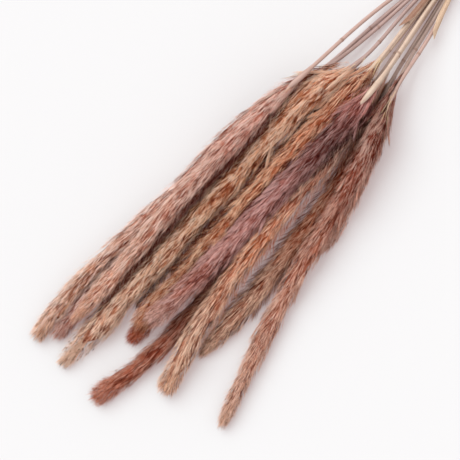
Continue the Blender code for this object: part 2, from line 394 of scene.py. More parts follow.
def reed_line(name: str) -> Line:
    """The line of one reed, from its cut end to its tip, measured from the foot of its plume."""
    stem, stem_radii = rings_of(f"stem_{name}")
    plume, plume_radii = rings_of(f"plume_{name}")
    points = np.concatenate((stem[:-1], plume))
    return Line(points, np.concatenate((stem_radii[:-1], plume_radii)), start=len(stem) - 1)


@dataclass(frozen=True)
class StrandForm:
    """The outline of a closed, pointed strand: shares of its length, and its girth at each."""

    stations: tuple[float, ...]
    girths: tuple[float, ...]
    sides: int = 3
    flat: float = 1.0

    @property
    def shares(self) -> Array:
        """The shares of a strand's length at its stations, as one row."""
        return np.array(self.stations)[None, :]

    def template(self) -> tuple[Array, Array, Array]:
        """Make the strand's shell.

        Returns:
            Each vertex's station, its two offsets in the cross-section, and the triangles.
        """
        bm = bmesh.new()
        self._shell(bm)
        bmesh.ops.triangulate(bm, faces=bm.faces)
        bmesh.ops.recalc_face_normals(bm, faces=bm.faces)
        corners, faces = triangles_of(bm)
        return np.abs(corners[:, 2:3] - self.shares).argmin(1), corners[:, :2], faces

    def settle(self, points: Array) -> Array:
        """Fit the lines to what this form can follow."""
        return points.copy()

    def _shell(self, bm: bmesh.types.BMesh) -> None:
        """Spin the outline into a round strand."""
        spots = [bm.verts.new((girth, 0.0, station)) for station, girth in zip(self.stations, self.girths)]
        edges = [bm.edges.new(pair) for pair in zip(spots, spots[1:])]
        turning = {"cent": (0, 0, 0), "axis": (0, 0, 1), "angle": TURN, "steps": self.sides}
        bmesh.ops.spin(bm, geom=spots + edges, use_merge=True, **turning)
        bmesh.ops.remove_doubles(bm, verts=bm.verts, dist=10.0 * TINY)
        bmesh.ops.dissolve_degenerate(bm, edges=bm.edges, dist=TINY)


class Sliver(StrandForm):
    """A straight hair: a closed kite of four triangles, which faces outwards where it is widest."""

    def settle(self, points: Array) -> Array:
        """Straighten the lines."""
        share = self.shares[..., None]
        return points[:, :1] * (1.0 - share) + points[:, -1:] * share

    def _shell(self, bm: bmesh.types.BMesh) -> None:
        """Wrap a hull round the hair's two ends and the two corners of its middle."""
        root, middle, end = self.stations
        for place in ((0.0, 0.0, root), (1.0, 1.0, middle), (-1.0, 1.0, middle), (0.0, 0.0, end)):
            bm.verts.new(place)
        bmesh.ops.convex_hull(bm, input=bm.verts)


HAIR = Sliver((0.0, 0.52, 1.0), (0.0, 1.0, 0.0), flat=0.5)
CURL = StrandForm((0.0, 0.12, 0.26, 0.4, 0.55, 0.7, 0.85, 1.0), (0.0, 0.9, 1.0, 1.0, 0.9, 0.8, 0.6, 0.0))
BRANCH = StrandForm((0.0, 0.05, 0.35, 0.7, 1.0), (0.0, 1.0, 0.85, 0.6, 0.0), sides=5)
HUSK = StrandForm((0.0, 0.35, 1.0), (0.0, 1.0, 0.0), sides=4)


class Strands:
    """Strands, and other shells, gathered into one mesh with its map."""

    def __init__(self) -> None:
        self.shells: list[tuple[Array, Array, Array, Array]] = []
        self.count = 0

    def add_shell(self, corners: Array, faces: Array, u: Array, v: Array, normals: Array) -> None:
        """Add triangles, with the outward direction at each corner and each triangle's places on the map."""
        self.shells.append((corners, faces + self.count, np.stack((u, v), -1).reshape(-1, 2), normals))
        self.count += len(corners)

    def add_surface(self, spots: Array, faces: Array, u: Array, v: Array, lowest: float) -> None:
        """Add a smooth shell, no part of it lower than a given height."""
        spots[:, 2] = np.maximum(spots[:, 2], lowest)
        self.add_shell(spots, faces, u, v, smooth_normals(spots, faces))

    def add(
        self,
        form: StrandForm,
        points: Array,
        girth: Array,
        across: Array,
        shades: tuple[Array | float, Array | float],
        facing: Array,
        softness: float,
    ) -> None:
        """Lay one form along many lines.

        Args:
            form: The strand's outline.
            points: The lines, as strands by stations by 3.
            girth: Each strand's radius at its widest.
            across: Each strand's place across the map.
            shades: Each strand's places along the map at its root and its tip.
            facing: The way each strand's flat side faces.
            softness: How far light falls on a strand as on the surface under it, and not on its own form.
        """
        station, offsets, faces = form.template()
        count = len(points)
        points = form.settle(points)
        points[..., 2] = np.maximum(points[..., 2], girth[:, None] + STRAND_CLEARANCE)
        heading = unit(np.gradient(points, axis=1))
        side = unit(np.cross(facing[:, None, :], heading))
        sideways = side[:, station] * offsets[None, :, 0:1]
        outwards = np.cross(heading, side)[:, station] * offsets[None, :, 1:2]
        corners = points[:, station] + girth[:, None, None] * (sideways + outwards * form.flat)
        normals = unit(sideways + outwards + softness * unit(facing)[:, None, :])
        share = np.array(form.stations)[station]
        root, tip = (np.broadcast_to(shade, count)[:, None] for shade in shades)
        u = across[:, None] + ((offsets[:, 0] + STRAND_MAP_SKEW * offsets[:, 1]) * STRAND_MAP_WIDTH)[None, :]
        v = root * (1.0 - share) + tip * share
        picked = faces[None] + (np.arange(count) * len(station))[:, None, None]
        self.add_shell(
            corners.reshape(-1, 3), picked.reshape(-1, 3), u[:, faces], v[:, faces], normals.reshape(-1, 3)
        )

    def to_object(self, name: str, material: bpy.types.Material) -> bpy.types.Object:
        """Write the mesh, in metres, as an object of the scene."""
        corners, faces, places, normals = (np.concatenate(parts) for parts in zip(*self.shells))
        mesh = bpy.data.meshes.new(name)
        mesh.vertices.add(len(corners))
        mesh.vertices.foreach_set("co", (corners * MM).astype(np.float32).ravel())
        mesh.loops.add(faces.size)
        mesh.loops.foreach_set("vertex_index", faces.astype(np.int32).ravel())
        mesh.polygons.add(len(faces))
        mesh.polygons.foreach_set("loop_start", np.arange(0, faces.size, 3, dtype=np.int32))
        mesh.update(calc_edges=True)
        mesh.uv_layers.new(name=BAKE_MAP).uv.foreach_set("vector", places.astype(np.float32).ravel())
        mesh.shade_smooth()
        mesh.normals_split_custom_set_from_vertices(normals.tolist())
        mesh.materials.append(material)
        return show(mesh)


def show(mesh: bpy.types.Mesh) -> bpy.types.Object:
    """Put a finished mesh in the scene."""
    obj = bpy.data.objects.new(mesh.name, mesh)
    bpy.context.scene.collection.objects.link(obj)
    return obj


def mount(obj: bpy.types.Object, node: str) -> None:
    """Let a piece ride on the bundle in place of its solid."""
    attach(obj, BODY)
    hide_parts(node)
    triangles = sum(len(face.vertices) - 2 for face in obj.data.polygons)
    log.info("%s: %d triangles, stands for %s", obj.name, triangles, node)


# ---------------------------------------------------------------- plumes

# Bands along the plume's map. Hair takes the rest, from its darkest (lowest) to its palest. How pale hair is
# there is partly its own tone and partly painted light: painted shade deep in the pile, painted highlight on
# its crests.
HUSK_BAND = (0.02, 0.08)
STRAW_BAND = (0.12, 0.20)
HAIR_BAND = (0.25, 0.98)
STOP_PLACES = (0.02, 0.22, 0.5, 0.78, 0.98)
# Painted shade: this ramp darkens hair towards its roots, the core and the valleys between lobes, as shade
# deep in the pile.
PAINTED_SHADE_STOPS = [
    (0.0, (0.06, 0.025, 0.025, 1.0)),
    (0.08, (0.18, 0.08, 0.07, 1.0)),
    (0.22, (0.42, 0.27, 0.235, 1.0)),
    (0.45, (0.76, 0.67, 0.62, 1.0)),
    (0.7, (1.0, 1.0, 1.0, 1.0)),
]
FIBRES_ACROSS, FIBRES_ALONG = 1900.0, 120.0
HAIR_SOFTNESS, PLAIN_SOFTNESS = 1.2, 0.1
SKYWARD = 0.3
STEM_PRESS, STEM_EDGE, PARTING_END = 1.2, 2.0, 6.0
HUSK_DARK, HUSK_PALE = linear(0x4E2E22), linear(0x784E38)
STRAW_BODY, STRAW_SPOT = linear(0xD6BC92, 1.15), linear(0xB2703C)


def hair_shade(depth: Array) -> Array:
    """A hair's place along the map, from how pale it is (0 to 1)."""
    low, high = HAIR_BAND
    return low + (high - low) * np.clip(depth, 0.0, 1.0)


@dataclass(frozen=True)
class Dye:
    """The colours of a dyed plume, from its foot to its tip, with its patches and its palest hair."""

    foot: int
    upper: int
    middle: int
    lower: int
    tip: int
    second: int
    gain: float = 2.0
    second_share: float = 0.6
    pale: int = 0xEAD8CF

    def material(self, name: str) -> bpy.types.Material:
        """Hair darkened towards its roots as painted shade and pale at its ends, partly as painted highlight,
        with husks and straw on bands of their own.
        """
        shader = Shader(name, {"Roughness": 0.6, "Specular IOR Level": 0.0})
        along, shade = shader.map_place()
        colours = (self.foot, self.upper, self.middle, self.lower, self.tip)
        stops = [(spot, linear(colour, self.gain)) for spot, colour in zip(STOP_PLACES, colours)]
        body = shader.ramp(along, stops)
        patches = shader.noise(along * 34.0, shade * 5.0).between(0.42, 0.70) * self.second_share
        body = shader.mix(patches, body, linear(self.second, self.gain))
        strands = shader.noise(along * 260.0, shade * 2.0, detail=1.0, rough=0.5)
        across, line, height = shader.object_place()
        fibres = shader.noise(across * FIBRES_ACROSS, line * FIBRES_ALONG, height * FIBRES_ACROSS)
        low, high = HAIR_BAND
        paleness = (shade - low) * (1.0 / (high - low)) + (strands - 0.5) * 0.2 + (fibres - 0.49) * 0.8
        # Painted shade: the paleness ramp darkens the hair's own colour deep in the pile.
        hair = shader.mix(1.0, body, shader.ramp(paleness, PAINTED_SHADE_STOPS), "MULTIPLY")
        # Partly painted highlight: the palest hair is mixed towards a pale, whitish colour.
        hair = shader.mix(paleness.between(0.5, 1.0) * 0.72, hair, linear(self.pale))
        grain = shader.noise(along * 90.0, shade * 40.0)
        straw = shader.mix(grain.between(0.35, 0.65), STRAW_BODY, linear(self.pale, 0.8))
        straw = shader.mix(grain.between(0.62, 0.72), straw, STRAW_SPOT)
        husk = shader.mix(grain, HUSK_PALE, HUSK_DARK)
        colour = shader.mix(shade > 0.5 * (HUSK_BAND[1] + STRAW_BAND[0]), husk, straw)
        return shader.finish(shader.mix(shade > 0.5 * (STRAW_BAND[1] + low), colour, hair))


@dataclass(frozen=True)
class Tip:
    """The end of a plume: its hair's lean in degrees, its dome, its width, and its end tufts."""

    lean: float
    dome: float
    width: float
    tufts: int = 0
    length: float = 0.0
    spread: float = 0.0
    girth: float = 0.0


class TipForm(Enum):
    """How a plume ends."""

    BRUSH = Tip(26.0, 5.0, 0.66)
    TAPERED = Tip(18.0, 10.0, 0.42)
    SLIM = Tip(12.0, 16.0, 0.26)
    FORKED = Tip(12.0, 0.0, 0.34, 7, 29.0, 4.2, 1.2)
    BLUNT = Tip(44.0, 4.0, 0.84)


@dataclass
class Lobes:
    """The overlapping lobes of a plume's body, as one number of each kind for each lobe."""

    start: Array
    length: Array
    bearing: Array
    drift: Array
    half: Array
    rise: Array
    tint: Array

    def heading(self, which: Array | slice, share: Array) -> Array:
        """A lobe's bearing round the plume at a share of its length."""
        return self.bearing[which] + self.drift[which] * (share - 0.5)

    @staticmethod
    def profile(share: Array, off: Array) -> Array:
        """A lobe's height (0 to 1) at a share of its length, off its middle by a share of its half width."""
        swelling = np.clip(share, 0.0, 1.0) ** 0.8 * np.clip((1.08 - share) / 0.24, 0.0, 1.0)
        return swelling * np.clip(1.0 - off**2, 0.0, 1.0)

    def relief(self, along: Array, bearing: Array, radius: Array) -> Array:
        """How high the highest lobe stands at each of these places round the plume."""
        share = (along[:, None] - self.start) / self.length
        turned = half_turned(bearing[:, None] - self.heading(slice(None), share))
        return (self.rise * self.profile(share, turned * radius[:, None] / self.half)).max(axis=1)


@dataclass
class Plume:
    """One reed's plume: a lobed core, wisps of hair over it, tufts, stray hair, husks and straw."""

    name: str
    slot: str
    half_width: float = 8.0
    crown: float = 0.0
    tip: TipForm = TipForm.BRUSH
    taper: float = 30.0
    trim: float = 0.0
    shift: float = 0.0
    shoulder: float = 24.0
    core: float = 0.64
    core_sides: int = 16
    core_pitch: float = 4.0
    core_gap: float = 9.0
    forked_core_gap: float = 20.0
    lobe_pitch: float = 2.7
    lobe_length: float = 27.0
    lobe_half: float = 3.1
    lobe_rise: float = 3.3
    wisps: float = 11.15
    wisp_hairs: int = 4
    wisp_spread: float = 0.3
    reach: tuple[float, float] = (5.5, 10.0)
    lean: tuple[float, float] = (5.0, 21.0)
    fuzz: float = 8.0
    end_hairs: int = 1100
    forked_end_hairs: int = 160
    tuft_hairs: float = 10.0
    foot_tufts: int = 7
    foot_rise: float = 9.0
    side_tufts: tuple[int, int] = (0, 0)
    strays: int = 20
    husks: int = 22
    branches: int = 10
    curl: float = 0.0
    paleness: float = 0.0
    foot_paleness: float = 0.0
    parting: float = 0.0
    # The skirt: hair darkened as painted shade, which fills the shadowed gaps beside the plume.
    skirt: tuple[float, float] = (0.0, 0.0)
    skirt_shades: tuple[float, float] = (-0.06, 0.02)
    skirt_gap: float = 52.0

    def __post_init__(self) -> None:
        self.line = reed_line(self.name)
        self.seed = REEDS.index(self.name) + 1
        self.rng = np.random.default_rng(self.seed)
        self.length = float(self.line.along[-1]) - self.trim
        self.forked = self.tip is TipForm.FORKED
        self.strands = Strands()

    def width(self, along: Array) -> Array:
        """Half the plume's width over its hair, at these places."""
        shoulder = 0.3 + 0.7 * eased((along + 6.0) / self.shoulder)
        left = (self.length + 1.0 - along) / self.taper
        end = self.tip.value.width
        taper = end + (1.0 - end) * np.sin(np.clip(left, 0.0, 1.0) * math.pi / 2) ** 0.85
        swell = 1.0 + 0.05 * np.sin(along * 0.083 + self.seed)
        swell = swell + 0.045 * np.sin(along * 0.19 + 2.1 * self.seed)
        crown = 1.0 + self.crown * (1.0 - eased(along / 110.0))
        return self.half_width * np.minimum(shoulder, taper) * swell * crown

    def place(self, out: Array, bearing: Array, along: Array) -> Array:
        """World points so far out from the plume's line, at these bearings and places."""
        across = out * np.cos(bearing) + self.shift * eased(along / 70.0)
        return self.line.place(across, out * np.sin(bearing), along)

    def inner(self, along: Array) -> Array:
        """The core's radius between its lobes, at these places: slim at the foot."""
        return self.width(along) * self.core * (0.3 + 0.7 * eased((along + 2.0) / 34.0))

    def build(self) -> bpy.types.Object:
        """Grow the plume as one mesh."""
        lobes = self._lobes()
        self._core(lobes)
        self._wisps(lobes)
        self._foot()
        self._end()
        self._fuzz()
        self._strays()
        self._husks()
        self._branches()
        self._painted_shadow_skirt()
        material = DYES[self.name].material(f"dyed_hair_{self.name}")
        return self.strands.to_object(f"plume_{self.name}_hair", material)

    def _lobes(self) -> Lobes:
        """Lobes that overlap like tiles from the foot to the tip."""
        rng = self.rng
        count = int(self.length / self.lobe_pitch)
        last = self.length - self.lobe_length * (1.5 if self.forked else 1.0)
        start = np.linspace(-3.0, last, count) + rng.normal(0.0, 2.0, count)
        length = self.lobe_length * rng.uniform(0.7, 1.25, count)
        room = np.clip(self.width(start + length * 0.6) / self.half_width, 0.4, 1.1)
        return Lobes(
            start=start,
            length=length,
            bearing=np.arange(count) * GOLDEN_ANGLE + rng.normal(0.0, 0.3, count),
            drift=rng.normal(0.0, 0.28, count),
            half=self.lobe_half * rng.uniform(0.7, 1.3, count) * room,
            rise=self.lobe_rise * rng.uniform(0.35, 1.2, count) * room,
            tint=rng.normal(0.0, 0.15, count),
        )

    def _core(self, lobes: Lobes) -> None:
        """The packed, lobed core that shows between the wisps: dark as painted shade, darkest between its
        lobes.
        """
        last = self.length - (self.forked_core_gap if self.forked else self.core_gap)
        up, bearing, reach, faces = straight_tube(self.core_sides, int(self.length / self.core_pitch))
        place = up * last
        inner = self.inner(place)
        height = lobes.relief(place, bearing, inner)
        closing = 1.0 - 0.8 * eased((place - last + 12.0) / 12.0)
        spots = self.place(reach * (inner - 1.0 + 0.7 * height) * closing, bearing, place)
        # Painted shade: the core is kept dark, and darker still low between the lobes.
        shade = hair_shade(0.12 + 0.24 * height / self.lobe_rise)
        self.strands.add_surface(spots, faces, on_map(place / self.length)[faces], shade[faces], FLOOR_GAP)

    def _lay_hair(
        self,
        form: StrandForm,
        local: tuple[Array, Array, Array],
        girth: Array,
        paleness: tuple[Array | float, Array | float],
        tilt: Array,
        held: float = 0.85,
        ragged: float = 2.0,
    ) -> None:
        """Bring hair from its places round the plume's line into the mesh.

        Args:
            form: Its outline.
            local: Each strand's distances from the line, bearings round it and places along it.
            girth: Each strand's radius.
            paleness: How pale each strand is at its root and at its tip; a dark root is painted shade deep in
                the pile.
            tilt: How far round the plume each strand's light side is turned from straight out.
            held: The share of its way past the plume's outline that hair keeps.
            ragged: How unevenly hair is cut off at the plume's domed end.
        """
        out, bearing, along = local
        limit = self.width(along)
        out = np.where(out > limit, limit + (out - limit) * held, out)
        dome = self.tip.value.dome * np.minimum(out[:, -1:] / self.half_width, 1.3) ** 2
        tip = self.length + 4.0 - dome + self.rng.normal(0.0, ragged, (len(out), 1))
        along = along - np.maximum(along[:, :1] + 2.5 - tip, 0.0)
        kept = np.clip((tip - along[:, :1]) / np.maximum(along[:, -1:] - along[:, :1], 0.1), 0.2, 1.0)
        out, bearing, along = (part[:, :1] + (part - part[:, :1]) * kept for part in (out, bearing, along))
        points = self.place(out, bearing, along)
        middle = points.shape[1] // 2
        side, up = self.line.frame(along[:, middle])
        turned = bearing[:, middle] + tilt
        outward = side * np.cos(turned)[:, None] + up * (np.sin(turned) + SKYWARD)[:, None]
        root = np.clip(along[:, 0] / self.length, 0.0, 1.0)
        across = on_map(np.clip(root + self.rng.normal(0.0, 0.02, len(root)), 0.0, 1.0))
        shades = tuple(hair_shade(end) for end in paleness)
        self.strands.add(form, points, girth, across, shades, outward, HAIR_SOFTNESS)

    def _lay_plain(
        self,
        form: StrandForm,
        local: tuple[Array, Array, Array],
        girths: tuple[float, float],
        band: tuple[float, float],
    ) -> None:
        """Bring husks or straw from their places round the plume's line into the mesh."""
        rng, count = self.rng, len(local[0])
        points = self.place(*local)
        girth, across = rng.uniform(*girths, count), rng.uniform(0.05, 0.95, count)
        self.strands.add(form, points, girth, across, band, rng.normal(size=(count, 3)), PLAIN_SOFTNESS)

    def _parted(self, along: Array, bearing: Array, out: Array) -> Array:
        """How far (0 to 1) the stem that lies over the plume's foot presses down hair at these places."""
        beside = 1.0 - eased((np.abs(out * np.cos(bearing)) - STEM_PRESS) / STEM_EDGE)
        return beside * (np.sin(bearing) > 0.0) * (1.0 - eased((along - self.parting) / PARTING_END))

    def _wisps(self, lobes: Lobes) -> None:
        """Wisps of fine hair rooted on the lobes: each leans outwards and its hairs draw together."""
        rng = self.rng
        count = int(self.length * self.wisps)
        weight = lobes.length * lobes.half * np.where(np.sin(lobes.bearing) > -0.5, 1.0, 0.35)
        weight = weight * (1.0 + 1.3 * (1.0 - eased(lobes.start / 20.0)))
        lobe = rng.choice(len(weight), count, p=weight / weight.sum())
        share = rng.uniform(-0.02, 0.92, count)
        off = np.clip(rng.normal(0.0, 0.6, count), -1.2, 1.2)
        start = lobes.start[lobe] + share * lobes.length[lobe]
        height = lobes.rise[lobe] * lobes.profile(share, off)
        root = self.inner(start) + height - rng.uniform(0.1, 0.7, count)
        bearing = lobes.heading(lobe, share) + off * lobes.half[lobe] / np.maximum(root, 2.0)
        pressed = self._parted(start, bearing, root) if self.parting else np.zeros(count)
        root = root - 1.5 * pressed
        near_foot = 1.0 - eased(start / 26.0)
        near_tip = eased((start - self.length + 30.0) / 22.0)
        splay = 22.0 * near_foot + 14.0 * near_tip
        lean = np.radians(rng.uniform(*self.lean, count) + splay * rng.random(count)) * (1.0 - pressed)
        sway = np.radians(off * 20.0 + rng.normal(0.0, 6.0 + 60.0 * self.curl, count))
        length = rng.uniform(*self.reach, count) * (1.0 + 0.5 * near_foot - 0.35 * near_tip)
        # Painted light: wisps low between the lobes are darker, and those on the lobes' crests paler.
        tint = rng.normal(0.0, 0.32, count) + 0.5 * (height / self.lobe_rise - 0.45) + lobes.tint[lobe]
        tint = tint + self.paleness + self.foot_paleness * (1.0 - eased(start / 120.0))
        gloss = off * 0.45 + rng.normal(0.0, 0.22, count)

        hair = np.repeat(np.arange(count), self.wisp_hairs)
        total = len(hair)
        x = HAIR.shares
        reach = (length[hair] * rng.uniform(0.75, 1.1, total))[:, None]
        begin = (start[hair] + rng.normal(0.0, 1.0, total))[:, None]
        beside = rng.uniform(-1.0, 1.0, (total, 1)) * self.wisp_spread
        own_lean = (lean[hair] + rng.normal(0.0, 0.07, total))[:, None]
        own_sway = (sway[hair] + rng.normal(0.0, 0.07, total))[:, None]
        along = begin + reach * x * np.cos(own_lean)
        which = lobe[hair][:, None]
        on_lobe = (along - lobes.start[which]) / lobes.length[which]
        drawn = 1.0 - 0.4 * eased((on_lobe - 0.35) / 0.8)
        across = (off[hair] * lobes.half[lobe[hair]])[:, None] * drawn + beside * (1.0 - 0.6 * x)
        across = across + reach * np.sin(own_sway) * (x - 0.5 * x**2)
        depth = (root[hair] + rng.uniform(-0.35, 0.25, total))[:, None]
        out = depth + reach * np.sin(own_lean) * (x - 0.38 * x**2)
        wobble = rng.normal(0.0, 0.06 + 1.2 * self.curl, (2, total, x.shape[1])) * (x > 0)
        bearing = lobes.heading(which, on_lobe) + (across + wobble[0]) / np.maximum(out, 2.0)
        tones = tint[hair] + rng.normal(0.0, 0.38, total)
        local, girth = (out + wobble[1], bearing, along), rng.uniform(0.09, 0.15, total)
        self._lay_hair(HAIR, local, girth, (0.38 + tones, 0.9 + tones), gloss[hair])

    def _foot(self) -> None:
        """Feathery tufts that leave the stem at the plume's foot, and the plume at its sides."""
        rng = self.rng
        count = self.foot_tufts
        start = rng.uniform(-self.foot_rise, 16.0, count)
        length = rng.uniform(22.0, 38.0, count)
        self._tufts(
            start=start,
            length=length,
            bearing=np.arange(count) * GOLDEN_ANGLE + rng.normal(0.0, 0.4, count),
            crown=self.width(start + length) * rng.uniform(0.7, 1.02, count),
            girth=rng.uniform(1.2, 2.0, count),
            tint=rng.normal(0.0, 0.06, count) + self.paleness + self.foot_paleness,
        )
        left, right = self.side_tufts
        count = left + right
        start = rng.uniform(6.0, 0.5 * self.length, count)
        length = rng.uniform(20.0, 34.0, count)
        level = rng.uniform(-0.15, 0.65, count)
        self._tufts(
            start=start,
            length=length,
            bearing=np.where(np.arange(count) < left, math.pi - level, level),
            crown=self.width(start + length) * rng.uniform(0.95, 1.25, count),
            girth=rng.uniform(1.1, 1.7, count),
            tint=rng.normal(0.05, 0.06, count) + self.paleness,
            lean=(4.0, 20.0),
        )

    def _end(self) -> None:
        """Fine hair that ends the plume like a brush, and the tufts of a forked tip."""
        rng, tip = self.rng, self.tip.value
        count = tip.tufts
        if count:
            length = tip.length * rng.uniform(0.75, 1.1, count)
            place = np.linspace(-1.0, 1.0, count) + rng.normal(0.0, 0.12, count)
            level = rng.uniform(-0.5, 0.9, count)
            back = rng.uniform(0.0, 9.0, count) * (np.arange(count) != count // 2)
            self._tufts(
                start=self.length + 4.5 - length - back,
                length=length,
                bearing=np.where(place < 0.0, math.pi - level, level),
                crown=tip.spread * np.abs(place),
                girth=tip.girth * rng.uniform(0.75, 1.15, count),
                tint=rng.normal(0.06, 0.05, count),
                lean=(8.0, 28.0),
                end=0.55,
            )
        total = self.forked_end_hairs if count else self.end_hairs
        start = self.length - rng.uniform(2.0, 20.0, total)
        off = np.sqrt(rng.random(total))
        bearing = rng.random((total, 1)) * TURN
        reach = rng.uniform(5.0, 11.0, (total, 1))
        x = HAIR.shares
        lean = np.radians(2.0 + tip.lean * off + rng.normal(0.0, 7.0, total))[:, None]
        out = (off * self.width(start) * 0.76)[:, None] + reach * np.sin(lean) * (x - 0.2 * x**2)
        along = start[:, None] + reach * np.cos(lean) * x
        tones = rng.normal(0.0, 0.3, total)
        self._lay_hair(
            HAIR, (out, np.repeat(bearing, 3, axis=1), along), rng.uniform(0.07, 0.12, total),
            (0.15 + tones, 0.72 + tones), rng.normal(0.0, 0.3, total), held=0.9, ragged=3.0,
        )

    def _tufts(
        self,
        start: Array,
        length: Array,
        bearing: Array,
        crown: Array,
        girth: Array,
        tint: Array,
        lean: tuple[float, float] = (3.0, 16.0),
        end: float = 0.4,
    ) -> None:
        """Lay hair all round slim tufts that leave the plume's line.

        Args:
            start: Where each tuft starts along the line.
            length: Its length.
            bearing: The way that it leans, round the line.
            crown: How far its end is from the line.
            girth: Its radius.
            tint: How much paler it is.
            lean: The least and the greatest lean of its hair, in degrees.
            end: The share of its radius that it keeps at its end.
        """
        rng = self.rng
        each = (self.tuft_hairs * length * (0.45 + 0.5 * girth)).astype(int)
        hair = np.repeat(np.arange(len(each)), each)
        total = len(hair)
        x = HAIR.shares
        share = rng.uniform(-0.05, 0.86, total)
        reach = rng.uniform(4.5, 9.0, (total, 1))
        start, length, level, crown, girth = (
            each_one[hair][:, None] for each_one in (start, length, bearing, crown, girth)
        )
        on_tuft = share[:, None] + x * (reach / length)
        axis_out = 0.6 + crown * np.clip(on_tuft, 0.0, 1.25) ** 1.1
        way = rng.uniform(0.0, TURN, total)
        hair_lean = np.radians(rng.uniform(*lean, (total, 1)))
        slim = np.interp(on_tuft, (0.0, 0.45, 1.0, 1.2), (0.6, 1.0, end, 0.1))
        off = girth * slim * 0.8 * np.sqrt(rng.uniform(0.2, 1.0, (total, 1)))
        off = off + (reach * np.sin(hair_lean)) * (x - 0.4 * x**2) * 0.7
        across = axis_out * np.cos(level) + off * np.cos(way)[:, None]
        above = axis_out * np.sin(level) * 0.85 + off * np.sin(way)[:, None]
        along = start + on_tuft * length
        tones = tint[hair] + rng.normal(0.0, 0.18, total)
        out, bearing = polar(across, above)
        kept = self._parted(along[:, 1], bearing[:, 1], out[:, 1]) < 0.5
        hair_girth = rng.uniform(0.08, 0.14, total)[kept]
        tones, turned = tones[kept], half_turned(way - bearing[:, 1])[kept]
        local = (out[kept], bearing[kept], along[kept])
        self._lay_hair(HAIR, local, hair_girth, (0.42 + tones, 0.94 + tones), turned * 0.6, held=1.0)

    def _fuzz(self) -> None:
        """Fine hair that stands off the plume: pale partly in its own colour, partly as painted light glowing
        through it.
        """
        rng = self.rng
        count = int(self.length * self.fuzz)
        start = self.length - 4.0 - (self.length - 1.0) * rng.random(count) ** 1.1
        bearing = rng.random(count) * TURN
        length = rng.uniform(3.5, 9.0, (count, 1))
        x = HAIR.shares
        lift = np.sin(np.radians(rng.uniform(14.0, 44.0, (count, 1))))
        along = start[:, None] + length * x * np.sqrt(1.0 - lift**2)
        out = self.width(start)[:, None] * 0.86 + length * lift * (x - 0.25 * x**2)
        swirl = (0.05 + self.curl) * rng.normal(0.0, 1.0, (count, 1))
        swirl = swirl * np.sin(x * rng.uniform(1.5, 5.0, (count, 1)))
        tint = rng.normal(0.0, 0.12, count)
        kept = self._parted(start, bearing, out[:, 0]) < 0.5
        local = (out[kept], (bearing[:, None] + swirl)[kept], along[kept])
        girth, tint = rng.uniform(0.07, 0.11, count)[kept], tint[kept]
        tilt = rng.normal(0.0, 0.2, count)[kept]
        self._lay_hair(HAIR, local, girth, (0.5 + tint, 0.95 + tint), tilt, held=1.0)

    def _strays(self) -> None:
        """Long, pale, curled hairs that lie over the others, most of them near the foot."""
        rng = self.rng
        count = self.strays
        low = rng.random((count, 1)) < 0.65
        below = rng.uniform(-2.0, 80.0, (count, 1))
        anywhere = rng.uniform(0.0, self.length - 20.0, (count, 1))
        start = np.where(low, below, anywhere)
        bearing = rng.uniform(0.08, 0.92, (count, 1)) * math.pi
        length = rng.uniform(7.0, 16.0, (count, 1))
        x = CURL.shares
        swing = rng.uniform(0.5, 2.0, (count, 1))
        phase, rate = rng.uniform(0.0, TURN, (count, 1)), rng.uniform(3.0, 8.5, (count, 1))
        along = start + length * x * 0.8 + swing * 0.6 * np.cos(phase + rate * x)
        out = self.width(start) * 0.95 + 0.5 * np.sin(phase * 1.7 + rate * x) + 0.9 * x
        across = swing * np.sin(phase + rate * x) + length * 0.3 * x * np.sign(rng.normal(size=(count, 1)))
        girth, tilt = rng.uniform(0.06, 0.11, count), rng.normal(0.0, 0.2, count)
        self._lay_hair(CURL, (out, bearing + across / out, along), girth, (0.85, 1.0), tilt)

    def _husks(self) -> None:
        """Small dark husks, most of them among the hair near the tip."""
        rng = self.rng
        count = self.husks
        near = rng.random((count, 1)) < 0.75
        from_tip, anywhere = rng.uniform(1.0, 30.0, (count, 1)), rng.uniform(10.0, self.length, (count, 1))
        start = np.where(near, self.length - from_tip, anywhere)
        bearing = rng.uniform(-0.15, 1.15, (count, 1)) * math.pi
        length = rng.uniform(1.3, 2.6, (count, 1))
        x = HUSK.shares
        out = self.width(start) * rng.uniform(0.75, 1.0, (count, 1)) + 0.22 * length * x
        turned = bearing + rng.normal(0.0, 0.03, (count, 1)) * x
        self._lay_plain(HUSK, (out, turned, start + length * x), (0.22, 0.36), HUSK_BAND)

    def _branches(self) -> None:
        """Straw branches that fan from the stem into the first tufts."""
        rng = self.rng
        count = self.branches
        start = rng.uniform(-14.0, 10.0, (count, 1))
        bearing = (np.arange(count) * GOLDEN_ANGLE + rng.normal(0.0, 0.3, count))[:, None]
        length = rng.uniform(16.0, 34.0, (count, 1))
        x = BRANCH.shares
        fan = self.width(np.full((count, 1), 34.0)) * rng.uniform(0.6, 1.05, (count, 1))
        out = 0.9 + fan * x * (0.4 + 0.6 * x)
        turned = bearing + 0.1 * rng.normal(0.0, 1.0, (count, 1)) * x
        self._lay_plain(BRANCH, (out, turned, start + length * x), (0.22, 0.38), STRAW_BAND)

